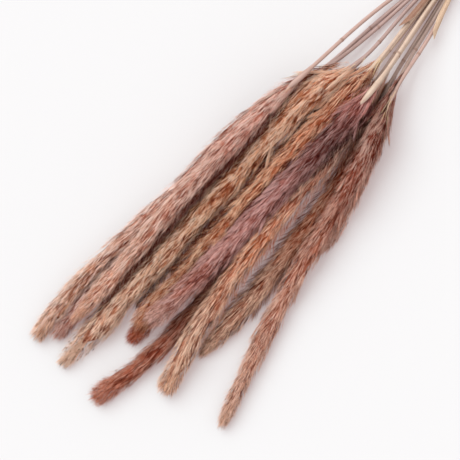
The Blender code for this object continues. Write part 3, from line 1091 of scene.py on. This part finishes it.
    def _painted_shadow_skirt(self) -> None:
        """Hair that hangs down beside the plume, by so much per mm on its left and on its right. It is
        darkened as painted shade, which fills the shadowed gaps between plumes.
        """
        rng = self.rng
        x = HAIR.shares
        for side, density in zip((-1.0, 1.0), self.skirt):
            count = int(self.length * density)
            start = rng.uniform(4.0, self.length - self.skirt_gap, (count, 1))
            width = self.width(start)
            reach = rng.uniform(7.0, 13.0, (count, 1))
            lean = np.radians(rng.uniform(12.0, 36.0, (count, 1)))
            across = side * (width * rng.uniform(0.55, 0.9, (count, 1)) + reach * np.sin(lean) * x)
            above = -width * rng.uniform(0.1, 0.6, (count, 1)) - reach * 0.45 * x * rng.random((count, 1))
            local = (*polar(across, above), start + reach * np.cos(lean) * x)
            tones = rng.normal(0.0, 0.09, count)
            girth, tilt = rng.uniform(0.10, 0.16, count), side * 1.2 + rng.normal(0.0, 0.2, count)
            shades = tuple(shade + tones for shade in self.skirt_shades)
            self._lay_hair(HAIR, local, girth, shades, tilt, held=1.0)


# ---------------------------------------------------------------- stems

# Marks up the stem's map: its pith, its bore, the rim of its cut, the start of its skin, and its tip.
PITH_MARK, BORE_MARK, RIM_MARK, SKIN_MARK, TIP_MARK = 0.001, 0.006, 0.012, 0.022, 0.9995
SKIN_SHARE = 0.976
NODE_STEPS = (-1.6, -0.8, 0.0, 0.8, 1.6)
NODE_ROOM = 2.4
# Painted shade in the hollow bore of a cut end.
BORE_PAINTED_SHADE = linear(0x3C2A20)


@dataclass(frozen=True)
class Straw:
    """The colours of a dry stem."""

    body: int
    streak: int
    node: int = 0x8A6858
    pith: int = 0xD6C4A0

    def material(self, name: str, nodes: list[float]) -> bpy.types.Material:
        """Straw with lengthwise fibres, darker rings at its nodes, pale pith at its cut and painted shade in
        its hollow bore.
        """
        shader = Shader(name, {"Roughness": 0.5, "Specular IOR Level": 0.4})
        turn, along = shader.map_place()
        sweep = turn * TURN
        fibres = shader.noise(sweep.cosine(), sweep.sine(), along * 3.0, detail=4.0, rough=0.7, scale=5.5)
        blotches = shader.noise(along * 24.0, 3.7, detail=3.0)
        colour = shader.mix(fibres.between(0.35, 0.7), linear(self.body, 0.87), linear(self.streak, 0.87))
        colour = shader.mix(blotches.between(0.5, 0.8) * 0.5, colour, linear(self.node, 1.2))
        for place in nodes:
            near = 1.0 - abs(along - place).between(0.0012, 0.005)
            colour = shader.mix(near * 0.6, colour, linear(self.node))
        colour = shader.mix(1.0 - along.between(RIM_MARK, SKIN_MARK), colour, linear(self.pith))
        # Painted shade at the bottom of the bore.
        colour = shader.mix(1.0 - along.between(0.002, RIM_MARK), colour, BORE_PAINTED_SHADE)
        return shader.finish(colour, fibres, strength=0.35, roughness=0.42 + fibres * 0.3)


@dataclass
class Stem:
    """One reed's stem, from its hollow cut end to where it thins out inside the plume."""

    name: str
    slot: str
    inside: float = 34.0
    lift: float = 0.0
    sides: int = 12
    ring_pitch: float = 4.5
    bore: float = 0.55
    bore_depth: float = 5.0
    cut_slant: float = 0.35
    cut_length: float = 8.0
    node_swell: float = 0.16
    node_length: float = 0.9
    thinning: float = 0.72
    lift_start: float = 30.0

    def __post_init__(self) -> None:
        self.line = reed_line(self.name)
        self.low = float(self.line.along[0])
        rng = np.random.default_rng(STEM_SEEDS + REEDS.index(self.name))
        self.nodes = [self.low * share for share in rng.uniform((0.12, 0.5), (0.3, 0.8))]

    def _radius(self, along: float) -> float:
        """The stem's radius at a place: a little fuller at its nodes, thinning out in the plume."""
        base = float(self.line.radius(np.array(min(along, -1.0))))
        bumps = (math.exp(-((along - node) / self.node_length) ** 2) for node in self.nodes)
        swell = sum(self.node_swell * bump for bump in bumps)
        thin = 1.0 - self.thinning * float(eased(np.array((along - 0.3 * self.inside) / (0.7 * self.inside))))
        return base * STEM_GIRTH * (1.0 + swell) * thin

    def _stations(self) -> list[float]:
        """Places of the rings, closer together at the nodes."""
        plain = np.arange(self.low + self.ring_pitch, self.inside, self.ring_pitch)
        extra = [node + step for node in self.nodes for step in NODE_STEPS]
        kept = [place for place in plain if all(abs(place - node) > NODE_ROOM for node in self.nodes)]
        return sorted([self.low, *kept, *extra, self.inside])

    def _mark(self, place: float) -> float:
        """A place's mark up the map of the stem's skin."""
        return SKIN_MARK + SKIN_SHARE * (place - self.low) / (self.inside + 1.0 - self.low)

    def build(self) -> bpy.types.Object:
        """Draw the stem out ring by ring, straight, and lay it along the reed's line."""
        bm = bmesh.new()
        bore = self._radius(self.low) * self.bore
        made = bmesh.ops.create_circle(bm, segments=self.sides, radius=bore, cap_ends=True, cap_tris=True)
        bmesh.ops.translate(bm, verts=made["verts"], vec=(0.0, 0.0, self.low + self.bore_depth))
        layer = bm.loops.layers.uv.new(BAKE_MAP)
        marks = {vertex: PITH_MARK if vertex.co.xy.length < TINY else BORE_MARK for vertex in bm.verts}
        rim = [edge for edge in bm.edges if len(edge.link_faces) == 1]
        rings = [(self.low, bore, RIM_MARK)]
        rings += [(place, self._radius(place), self._mark(place)) for place in self._stations()]
        for place, radius, mark in rings:
            made = bmesh.ops.extrude_edge_only(bm, edges=rim)["geom"]
            rim = of_kind(made, bmesh.types.BMEdge)
            for vertex in of_kind(made, bmesh.types.BMVert):
                vertex.co.xy = vertex.co.xy.normalized() * radius
                vertex.co.z = place
                marks[vertex] = mark
        tip = of_kind(bmesh.ops.extrude_edge_only(bm, edges=rim)["geom"], bmesh.types.BMVert)
        bmesh.ops.pointmerge(bm, verts=tip, merge_co=(0.0, 0.0, self.inside + 1.0))
        bmesh.ops.recalc_face_normals(bm, faces=bm.faces)
        self._map(bm, layer, marks)
        self._bend(bm)
        mesh = bpy.data.meshes.new(f"stem_{self.name}_straw")
        bm.to_mesh(mesh)
        bm.free()
        mesh.shade_smooth()
        nodes = [self._mark(node) for node in self.nodes]
        mesh.materials.append(STRAWS[self.slot].material(f"dry_stem_{self.name}", nodes))
        return show(mesh)

    @staticmethod
    def _map(bm: bmesh.types.BMesh, layer: bmesh.types.BMLayerItem, marks: dict) -> None:
        """Unroll the stem on its map: round it across, and along it upwards."""
        for face in bm.faces:
            spots = [loop.vert.co.xy for loop in face.loops]
            turns = [math.atan2(spot.y, spot.x) / TURN % 1.0 for spot in spots]
            off_axis = [spot.length > TINY for spot in spots]
            known = [turn for turn, off in zip(turns, off_axis) if off]
            if max(known) - min(known) > 0.5:
                turns = [turn + 1.0 if turn < 0.5 else turn for turn in turns]
                known = [turn for turn, off in zip(turns, off_axis) if off]
            middle = sum(known) / len(known)
            for turn, off, loop in zip(turns, off_axis, face.loops):
                loop[layer].uv = (turn if off else middle, marks.get(loop.vert, TIP_MARK))

    def _bend(self, bm: bmesh.types.BMesh) -> None:
        """Lay the straight stem along the reed's line, with a slanting cut and its lift over the plume."""
        corners = np.array([vertex.co for vertex in bm.verts])
        slant = np.interp(corners[:, 2] - self.low, (0.0, self.cut_length), (self.cut_slant, 0.0))
        along = corners[:, 2] + corners[:, 0] * slant
        rise = self.lift * eased((along + self.lift_start) / (0.45 * self.inside + self.lift_start))
        rise = rise * (1.0 - 0.8 * eased((along - self.inside + 14.0) / 15.0))
        spots = self.line.place(corners[:, 0], corners[:, 1] + rise, along) * MM
        spots[:, 2] = np.maximum(spots[:, 2], 0.0)
        for vertex, spot in zip(bm.verts, spots):
            vertex.co = spot


# ---------------------------------------------------------------- leaf sheaths


@dataclass(frozen=True)
class DryLeaf:
    """The colours of a dry leaf."""

    body: int
    vein: int
    edge: int

    def material(self, name: str) -> bpy.types.Material:
        """Dry leaf: long veins, blotches, and paler, papery edges."""
        shader = Shader(name, {"Roughness": 0.6, "Specular IOR Level": 0.3})
        across, along = shader.map_place()
        veins = shader.noise(across * 46.0, along * 2.5)
        blotches = shader.noise(across * 3.0, along * 11.0, detail=3.0, rough=0.65)
        colour = shader.mix(veins.between(0.36, 0.66), linear(self.body, 1.15), linear(self.vein, 1.15))
        colour = shader.mix(blotches.between(0.48, 0.72) * 0.6, colour, linear(self.vein))
        rim = abs(across - 0.5).between(0.40, 0.48)
        colour = shader.mix(rim * 0.75, colour, linear(self.edge, 1.1))
        return shader.finish(colour, veins, strength=0.4, roughness=0.48 + veins * 0.3)


@dataclass
class LeafSheath:
    """A leaf sheath: it clasps its stem near the tie, opens along it, and ends in a lifted, frayed point."""

    name: str
    slot: str
    reed: str
    leaf: DryLeaf
    half_angle: float
    lean: float
    twist: float
    seed: int
    columns: int = 14
    rows: int = 44
    thickness: float = 0.22
    gap: float = 0.12
    nicks: int = 15
    ribs: float = 7.0
    rib_height: float = 0.07
    tip_lift: float = 3.4
    edge_lift: float = 0.9

    def build(self) -> bpy.types.Object:
        """Wrap a ribbed sheet round the stem, between the ends of its solid."""
        rng = np.random.default_rng(SHEATH_SEEDS + self.seed)
        line = reed_line(self.reed)
        low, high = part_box(self.name)
        ends = np.interp((-high.y / MM, -low.y / MM), -line.points[:, 1], line.along)
        across, up, layer, faces = self._sheet()
        along = ends[0] + (ends[1] - ends[0]) * up
        nicks = 1.0 + rng.normal(0.0, 0.07, self.nicks)
        nicks = np.interp(up, np.linspace(0.0, 1.0, self.nicks), nicks)
        clasp = self.half_angle * (1.0 - up**1.5) ** 0.9 * nicks + 3.0
        off = 2.0 * across - 1.0
        bearing = np.radians(90.0 + self.lean + self.twist * up**2 + off * clasp)
        rib = self.rib_height * np.cos(across * TURN * self.ribs) * (1.0 - up)
        lifted = self.tip_lift * up**5 + self.edge_lift * np.abs(off) ** 3 * up * (1.0 - up**4) + rib
        out = line.radius(along) * STEM_GIRTH + self.gap + lifted + self.thickness * layer
        spots = line.place(out * np.cos(bearing), out * np.sin(bearing), along)
        u, v = (0.02 + 0.95 * share + 0.01 * layer for share in (across, up))
        strands = Strands()
        strands.add_surface(spots, faces, u[faces], v[faces], FLOOR_GAP)
        return strands.to_object(f"{self.name}_leaf", self.leaf.material(f"dry_{self.name}"))

    def _sheet(self) -> tuple[Array, Array, Array, Array]:
        """A flat, closed sheet: its corners' places across, along and through it, and its triangles."""
        bm = bmesh.new()
        bmesh.ops.create_grid(bm, x_segments=self.columns, y_segments=self.rows, size=0.5)
        made = bmesh.ops.extrude_face_region(bm, geom=bm.faces[:], use_keep_orig=True)["geom"]
        bmesh.ops.translate(bm, verts=of_kind(made, bmesh.types.BMVert), vec=(0.0, 0.0, 1.0))
        bmesh.ops.recalc_face_normals(bm, faces=bm.faces)
        corners, faces = triangles_of(bm)
        return corners[:, 0] + 0.5, corners[:, 1] + 0.5, corners[:, 2], faces


# ---------------------------------------------------------------- twine

PLY_BAND = (0.02, 0.82)
FIBRE_BAND = (0.965, 0.99)
PLY_OFFSET, PLY_FULLNESS = 0.536, 1.08
WRAP_STEPS = 1600


@dataclass(frozen=True)
class Jute:
    """The colours of natural twine."""

    body: int = 0xBA9A72
    pale: int = 0xDAC29C
    painted_groove_shade: int = 0x60442C

    def material(self, name: str, length: float) -> bpy.types.Material:
        """Twisted plies: fibres along each ply, and painted shade on their inner sides, in the grooves
        between them.
        """
        shader = Shader(name, {"Roughness": 0.85, "Specular IOR Level": 0.18})
        along, turn = shader.map_place()
        fibres = shader.noise(along * (length * 0.8), turn * 22.0, rough=0.65)
        dull = shader.noise(along * (length * 0.12), 2.3)
        colour = shader.mix(fibres.between(0.3, 0.68), linear(self.body, 1.1), linear(self.pale, 1.1))
        colour = shader.mix(dull.between(0.4, 0.8) * 0.45, colour, linear(self.body, 0.8))
        # Painted shade: each ply darkens on its side that faces the other plies.
        inner = abs(turn - 0.5 * sum(PLY_BAND)).between(0.16, 0.34)
        colour = shader.mix(inner, colour, linear(self.painted_groove_shade))
        colour = shader.mix(turn > 0.5 * (PLY_BAND[1] + 1.0), colour, linear(self.pale, 1.1))
        return shader.finish(colour, fibres, strength=0.6, depth=0.0002)


def evenly_spaced(path: Array, pitch: float) -> Array:
    """Points a pitch apart along a path."""
    along = distances(path)
    places = np.linspace(0.0, along[-1], max(3, round(along[-1] / pitch) + 1))
    return np.stack([np.interp(places, along, path[:, axis]) for axis in range(3)], axis=1)


def carried_frame(path: Array) -> tuple[Array, Array, Array]:
    """A path's heading at each point, and two ways across it that turn as little as they can."""
    heading = unit(np.gradient(path, axis=0))
    across = np.empty_like(path)
    current = np.cross(heading[0], (0.3, 0.5, 0.8))
    for index, way in enumerate(heading):
        current = unit(current - way * (current @ way))
        across[index] = current
    return heading, across, np.cross(heading, across)


@dataclass
class Twine:
    """The tie: tight turns of three-ply twine round the stems, a reef knot on top, and two clipped ends."""

    slot: str = "twine"
    jute: Jute = Jute()
    radius: float = 0.85
    knot_radius: float = 0.74
    end_radius: float = 0.8075
    plies: int = 3
    lay: float = 4.8
    turns: float = 4.0
    sides: int = 6
    pitch: float = 0.85
    tuck: float = 1.5
    tucked_share: float = 0.016

    def __post_init__(self) -> None:
        self.rng = np.random.default_rng(TWINE_SEED)
        low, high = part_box("twine_knot")
        self.seat = np.array((low + high) / 2.0) / MM

    def build(self) -> None:
        """Make and mount the wrap, the knot and its two ends."""
        self._piece("twine_wrap", [self._round_the_stems()], self.radius, fibres=300)
        self._piece("twine_knot", [self._bight(-1.0), self._bight(1.0)], self.knot_radius, fibres=40)
        for side, node in ((-1.0, "twine_end_left"), (1.0, "twine_end_right")):
            self._piece(node, [self._tail(side, node)], self.end_radius, fibres=50, fray=4.0, brush=90)

    def _piece(
        self, node: str, paths: list[Array], radius: float, fibres: int, fray: float = 0.0, brush: int = 0
    ) -> None:
        """Make one piece of the tie and mount it.

        Args:
            node: The solid that it stands for.
            paths: The middle of each length of twine in it.
            radius: The twine's radius.
            fibres: How many fibres stand off each length.
            fray: The length over which its end comes apart.
            brush: How many loose fibres are at that end.
        """
        strands = Strands()
        for path in paths:
            self._twist(strands, path, radius, fray)
            self._stray_fibres(strands, path, fibres)
        if brush:
            self._brush(strands, path, brush)
        material = self.jute.material(f"jute_{node}", float(distances(path)[-1]))
        mount(strands.to_object(f"{node}_jute", material), node)

    def _round_the_stems(self) -> Array:
        """The taut helix round all the stems."""
        low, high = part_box("twine_wrap")
        share = np.linspace(0.0, 1.0, WRAP_STEPS)
        y = low.y / MM + self.radius + (high.y - low.y - 2.0 * self.radius * MM) / MM * share
        centres = np.stack([
            np.stack([np.interp(-y, -line.points[:, 1], line.points[:, axis]) for axis in (0, 2)], -1)
            for line in (reed_line(name) for name in REEDS)
        ])
        reach = high.x / MM - self.radius - centres[:, len(y) // 2, 0].max()
        angle = math.pi / 2 + TURN * self.turns * share
        outward = np.stack((np.cos(angle), np.sin(angle)), -1)
        outermost = (centres * outward).sum(-1).argmax(0)
        spots = centres[outermost, np.arange(len(y))] + outward * reach
        tucked = 1.0 - eased(np.minimum(share, 1.0 - share) / self.tucked_share)
        y = y + np.sign(0.5 - share) * 2.0 * self.radius * tucked
        return evenly_spaced(np.stack((spots[:, 0], y, spots[:, 1] - self.tuck * tucked), -1), self.pitch)

    def _bight(self, side: float) -> Array:
        """One of the knot's two loops: over the other's legs on one side, and down into the wrap."""
        outer, inner, bend, rise, leg, tucked = -2.2, 0.75, 1.0, 0.72, 3.4, (0.2, -2.2)
        middle, radius = (outer + inner) / 2.0, (inner - outer) / 2.0
        curve = np.linspace(-math.pi / 2, math.pi / 2, 18)
        x = np.concatenate(((-leg, -1.5), bend + radius * np.cos(curve), (-1.5, -leg, -leg - 1.0)))
        y = np.concatenate(((outer, outer), middle + radius * np.sin(curve), (inner, inner, inner)))
        z = -rise * x / (bend + radius)
        z[-2:] = tucked
        return self.seat + evenly_spaced(np.stack((-side * x, -side * y, z), -1), self.pitch * 0.55)

    def _tail(self, side: float, node: str) -> Array:
        """A clipped end: out of the knot, sideways, and down beside the stems."""
        low, high = (np.array(corner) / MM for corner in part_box(node))
        out_of_knot, beside, above = 3.1, side * 2.2, 0.9
        reach = np.abs((high if side > 0 else low)[0] - self.seat[0]) - self.radius - out_of_knot
        along, drop = high[1] - self.radius - self.seat[1], self.seat[2] - low[2] - self.radius
        share = np.linspace(0.0, 1.0, 60)
        turn = share * math.pi / 2
        path = np.stack((
            side * out_of_knot + side * reach * np.sin(turn),
            beside * (1.0 - share) ** 2 + along * share**2,
            above * (1.0 - share) ** 2 - drop * (1.0 - np.cos(turn)),
        ), -1)
        return self.seat + evenly_spaced(path, self.pitch * 0.7)

    def _twist(self, strands: Strands, path: Array, radius: float, fray: float) -> None:
        """Twist the plies along a path; over the last of it, they may come apart."""
        _, across, above = carried_frame(path)
        along = distances(path)
        loose = np.clip((along - along[-1] + fray) / fray, 0.0, 1.0) ** 1.5 if fray else np.zeros(len(along))
        ply_radius = radius / (1.0 + 2.0 / math.sqrt(3.0)) * (PLY_FULLNESS - 0.5 * loose)
        off_axis = radius * PLY_OFFSET * (1.0 + 1.6 * loose)
        up, bearing, reach, faces = straight_tube(self.sides, len(path))
        ring = np.rint(up * (len(path) - 1)).astype(int)
        turns = (bearing / TURN + 0.5)[faces]
        wraps = turns.max(axis=1, keepdims=True) - turns.min(axis=1, keepdims=True) > 0.5
        turns = np.where(wraps & (turns < 0.5), turns + 1.0, turns)
        v = PLY_BAND[0] + (PLY_BAND[1] - PLY_BAND[0]) * turns
        for ply in range(self.plies):
            phase = TURN * (along / self.lay + ply / self.plies)
            middle = path + off_axis[:, None] * around(phase[:, None], across, above)
            way = around((bearing + phase[ring])[:, None], across[ring], above[ring])
            spots = middle[ring] + way * (reach * ply_radius[ring])[:, None]
            strands.add_surface(spots, faces, on_map(up)[faces], v, lowest=0.2)

    def _lay_fibres(self, strands: Strands, root: Array, way: Array, across: Array) -> None:
        """Lay straight fibres from their roots."""
        points = root[:, None, :] + way[:, None, :] * HAIR.shares[..., None]
        girth = self.rng.uniform(0.035, 0.06, len(root))
        strands.add(HAIR, points, girth, across, FIBRE_BAND, self.rng.normal(size=(len(root), 3)), 0.2)

    def _stray_fibres(self, strands: Strands, path: Array, count: int) -> None:
        """Short fibres that stand off the twine."""
        rng = self.rng
        heading, across, above = carried_frame(path)
        spot = rng.integers(1, len(path) - 1, count)
        outward = around(rng.uniform(0.0, TURN, (count, 1)), across[spot], above[spot])
        way = outward * rng.uniform(0.3, 1.0, (count, 1)) + heading[spot] * rng.uniform(-1.6, 1.6, (count, 1))
        self._lay_fibres(strands, path[spot] + outward * self.radius * 0.8, way, on_map(spot / len(path)))

    def _brush(self, strands: Strands, path: Array, count: int) -> None:
        """The loose fibres at a clipped end."""
        rng = self.rng
        heading, across, above = (ways[-1] for ways in carried_frame(path))
        outward = around(rng.uniform(0.0, TURN, (count, 1)), across, above)
        root = path[-1] + outward * rng.uniform(0.1, 1.0, (count, 1))
        root = root - heading * rng.uniform(0.2, 1.6, (count, 1))
        way = heading * rng.uniform(1.2, 3.2, (count, 1)) + outward * rng.uniform(0.0, 1.3, (count, 1))
        self._lay_fibres(strands, root, way, rng.uniform(0.9, 0.98, count))


# ---------------------------------------------------------------- the room


@dataclass
class Studio:
    """A plain pale floor that glows faintly as painted light, soft light from one side, and a camera that
    looks straight down.
    """

    aim_from_tie: tuple[float, float] = (-6.4, -289.7)
    camera_turn: float = 39.0
    view_width: float = 345.0
    bundle_height: float = 12.0
    lens: float = 135.0
    sensor: float = 36.0
    fill: float = 0.8
    fill_colour: tuple[float, ...] = (1.0, 0.938, 0.942, 1.0)
    background: tuple[float, ...] = (0.95, 0.95, 0.95, 1.0)
    key_strength: float = 2.5
    key_softness: float = 48.0
    key_colour: tuple[float, ...] = (0.94, 1.0, 1.0)
    key_way: tuple[float, ...] = (0.80, -0.22, -1.0)
    # The floor's colours are tinted cyan against its pink painted glow, so that open floor stays neutral.
    floor_colours: tuple[int, int] = (0xC0CACB, 0xBEC8C9)
    painted_light_strength: float = 0.25
    painted_light_tint: tuple[float, ...] = (1.0, 0.64, 0.62, 1.0)

    def build(self) -> None:
        """Make the floor, the lights and the camera."""
        self._floor()
        self._world()
        self._key()
        self._camera()
        bpy.context.scene.view_settings.view_transform = "Standard"

    def _floor(self) -> None:
        """A wide, matt floor that glows faintly: painted light, which lifts and pinks the shadows on it as
        bounce light from the plumes would.
        """
        bm = bmesh.new()
        bmesh.ops.create_grid(bm, x_segments=4, y_segments=4, size=6.0)
        mesh = bpy.data.meshes.new("studio_floor")
        bm.to_mesh(mesh)
        bm.free()
        # Painted light: the floor emits a faint pink light, lifting its shadows as bounce light would.
        glow = {"Emission Color": self.painted_light_tint, "Emission Strength": self.painted_light_strength}
        shader = Shader("matt_floor", {"Roughness": 0.9, "Specular IOR Level": 0.1, **glow})
        tone = shader.noise(*shader.object_place(), rough=0.5, scale=1.5)
        first, second = (linear(colour) for colour in self.floor_colours)
        mesh.materials.append(shader.finish(shader.mix(tone, first, second)))
        show(mesh)

    def _world(self) -> None:
        """Even fill light, and a pale background where the camera sees past the floor."""
        world = bpy.data.worlds.new("studio_world")
        bpy.context.scene.world = world
        world.use_nodes = True
        nodes, link = world.node_tree.nodes, world.node_tree.links.new
        nodes.clear()
        rays = nodes.new("ShaderNodeLightPath")
        choice = nodes.new("ShaderNodeMixShader")
        out = nodes.new("ShaderNodeOutputWorld")
        link(rays.outputs["Is Camera Ray"], choice.inputs[0])
        for slot, colour, strength in ((1, self.fill_colour, self.fill), (2, self.background, 1.0)):
            light = nodes.new("ShaderNodeBackground")
            light.inputs["Color"].default_value = colour
            light.inputs["Strength"].default_value = strength
            link(light.outputs[0], choice.inputs[slot])
        link(choice.outputs[0], out.inputs["Surface"])

    def _key(self) -> None:
        """A large soft light, upper left of the view."""
        lamp = bpy.data.lights.new("key_light", "SUN")
        lamp.energy = self.key_strength
        lamp.angle = math.radians(self.key_softness)
        lamp.color = self.key_colour
        obj = bpy.data.objects.new("key_light", lamp)
        bpy.context.scene.collection.objects.link(obj)
        obj.rotation_mode = "QUATERNION"
        obj.rotation_quaternion = Vector(self.key_way).to_track_quat("-Z", "Y")

    def _camera(self) -> None:
        """A long lens straight above the plumes."""
        low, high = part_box("twine_wrap")
        tie = (low + high) / 2.0
        height = self.view_width * self.lens / self.sensor + self.bundle_height
        data = bpy.data.cameras.new("camera")
        data.lens = self.lens
        data.sensor_width = self.sensor
        camera = bpy.data.objects.new("camera", data)
        bpy.context.scene.collection.objects.link(camera)
        camera.location = Vector((tie.x, tie.y, 0.0)) + Vector((*self.aim_from_tie, height)) * MM
        camera.rotation_euler = (0.0, 0.0, math.radians(self.camera_turn))
        bpy.context.scene.camera = camera


# ---------------------------------------------------------------- the bundle

DYES = {
    "a": Dye(0x703E30, 0x7A4C3E, 0xD4A696, 0xE0B498, 0xDEB394, 0xA26A56, 2.2),
    "b": Dye(0x86544A, 0x905E54, 0x98665C, 0x9E6C60, 0xA47060, 0x84524A, 1.7),
    "c": Dye(0x905C4E, 0xA67264, 0xD4A694, 0xC09078, 0xC8987C, 0x925C4E, 2.3, 0.6, 0xE8D3C6),
    "d": Dye(0x9E6242, 0xDAA07A, 0xCC9A76, 0xC49E86, 0x9D806F, 0xA05C34, 2.4, 0.55, 0xECD6C2),
    "e": Dye(0x7E4A3A, 0x824E3E, 0x86503E, 0x8C4A34, 0x92442E, 0x683626, 1.7, 0.6, 0xC48A70),
    "f": Dye(0x804836, 0xA86C50, 0xA47054, 0x784830, 0x8C563C, 0x844628, 2.3, 0.7, 0xE6C8AC),
    "g": Dye(0xB8807A, 0x42201D, 0xB68984, 0xA67B72, 0xD8B1A3, 0x804A46, 1.9, 0.6, 0xBE9C96),
    "h": Dye(0x744030, 0x824030, 0x744030, 0x88503E, 0xA66C58, 0x683828, 2.1, 0.6, 0xC69A88),
    "i": Dye(0x9A6A5A, 0xCEA090, 0xAA6846, 0xD0AA94, 0xB88E74, 0xA2684A, 2.3, 0.6, 0xE4CAB4),
    "j": Dye(0x703A28, 0x743C2C, 0x7A442E, 0xEAC8B0, 0xE4C0A8, 0x864A2E, 2.2, 0.6, 0xCEAA94),
    "k": Dye(0x562A24, 0x804436, 0xA0705E, 0xB88C78, 0xE0BAA2, 0x864E3A, 2.1, 0.6, 0xD8B8A8),
    "l": Dye(0x966256, 0xA06E60, 0xB2806E, 0xBA8E7C, 0xC09684, 0x966052, 2.0),
}
STRAWS = {
    "pinkish_stem": Straw(body=0xCCACA0, streak=0xB28E82),
    "mauve_stem": Straw(body=0xC2A69E, streak=0xA08078),
    "straw_stem": Straw(body=0xE0C9B4, streak=0xC4A490),
    "grey_stem": Straw(body=0xC0A89C, streak=0x9C8278),
}
DARK_LEAF = DryLeaf(body=0xA07C68, vein=0x704C3C, edge=0xBE9C82)
PALE_LEAF = DryLeaf(body=0xCEB49A, vein=0xA88870, edge=0xE0CAAE)


def plumes() -> tuple[Plume, ...]:
    """The twelve plumes, from the left of the bundle to its right."""
    slim, forked, tapered, blunt = TipForm.SLIM, TipForm.FORKED, TipForm.TAPERED, TipForm.BLUNT
    return (
        Plume("a", "mauve_hair", paleness=0.12, foot_paleness=-0.5),
        Plume("b", "mauve_hair", half_width=7.6, wisps=5.6, skirt=(0.0, 3.0)),
        Plume(
            "c", "mauve_hair", half_width=7.9, paleness=0.14, crown=0.16, tip=slim, taper=48.0,
            parting=8.0, skirt=(0.0, 7.0), skirt_gap=26.0,
        ),
        Plume(
            "d", "golden_hair", half_width=12.3, shift=-2.0, crown=0.22, tip=forked, taper=52.0,
            curl=0.13, strays=120, side_tufts=(4, 2), paleness=0.24, foot_paleness=0.25, husks=60,
            skirt=(5.0, 6.0), skirt_gap=72.0,
        ),
        Plume("e", "russet_hair", half_width=7.4, wisps=4.6, skirt=(3.0, 3.0)),
        Plume(
            "f", "golden_hair", half_width=9.4, shift=1.6, crown=0.22, curl=0.13, strays=100,
            side_tufts=(2, 2), skirt=(5.0, 4.0),
        ),
        Plume(
            "g", "mauve_hair", half_width=9.0, crown=0.22, trim=13.0, foot_paleness=-0.12, parting=6.0,
            strays=40, side_tufts=(2, 2), skirt=(3.0, 4.0),
        ),
        Plume("h", "russet_hair", tip=blunt),
        Plume(
            "i", "beige_hair", half_width=9.2, branches=20, husks=40, lean=(9.0, 32.0), skirt=(3.0, 1.8),
            skirt_shades=(0.16, 0.5), skirt_gap=60.0, paleness=0.1, foot_paleness=0.1, foot_rise=20.0,
        ),
        Plume(
            "j", "brown_hair", half_width=9.2, crown=0.1, tip=slim, taper=48.0, branches=20,
            lean=(9.0, 32.0), skirt=(1.8, 3.0), skirt_shades=(0.16, 0.5), trim=-3.0, foot_tufts=13,
            foot_rise=24.0,
        ),
        Plume(
            "k", "mauve_hair", crown=0.2, tip=tapered, taper=80.0, lean=(11.0, 32.0), side_tufts=(0, 10),
            foot_tufts=15, foot_rise=26.0, paleness=0.08, foot_paleness=-0.16, branches=20, husks=34,
        ),
        Plume(
            "l", "mauve_hair", half_width=6.2, wisps=9.0, tip=tapered, foot_tufts=13, foot_rise=24.0,
            foot_paleness=-0.1,
        ),
    )


def stems() -> tuple[Stem, ...]:
    """The twelve stems. Two of them lie over the feet of their own plumes."""
    return (
        Stem("a", "mauve_stem"),
        Stem("b", "mauve_stem"),
        Stem("c", "pinkish_stem", inside=17.0, lift=6.5),
        Stem("d", "mauve_stem"),
        Stem("e", "straw_stem"),
        Stem("f", "straw_stem"),
        Stem("g", "straw_stem", inside=22.0, lift=7.4),
        Stem("h", "grey_stem"),
        Stem("i", "straw_stem"),
        Stem("j", "grey_stem"),
        Stem("k", "pinkish_stem"),
        Stem("l", "grey_stem"),
    )


def main() -> None:
    """Build the whole scene."""
    logging.basicConfig(level=logging.INFO, format="%(name)s %(message)s")
    sheaths = (
        LeafSheath("sheath_dark", "dark_leaf", "f", DARK_LEAF, 118.0, lean=20.0, twist=30.0, seed=1),
        LeafSheath("sheath_pale", "pale_leaf", "k", PALE_LEAF, 112.0, lean=-12.0, twist=-34.0, seed=2),
    )
    for plume in plumes():
        mount(plume.build(), f"plume_{plume.name}")
    for stem in stems():
        mount(stem.build(), f"stem_{stem.name}")
    for sheath in sheaths:
        mount(sheath.build(), sheath.name)
    Twine().build()
    Studio().build()


if __name__ == "__main__":
    main()
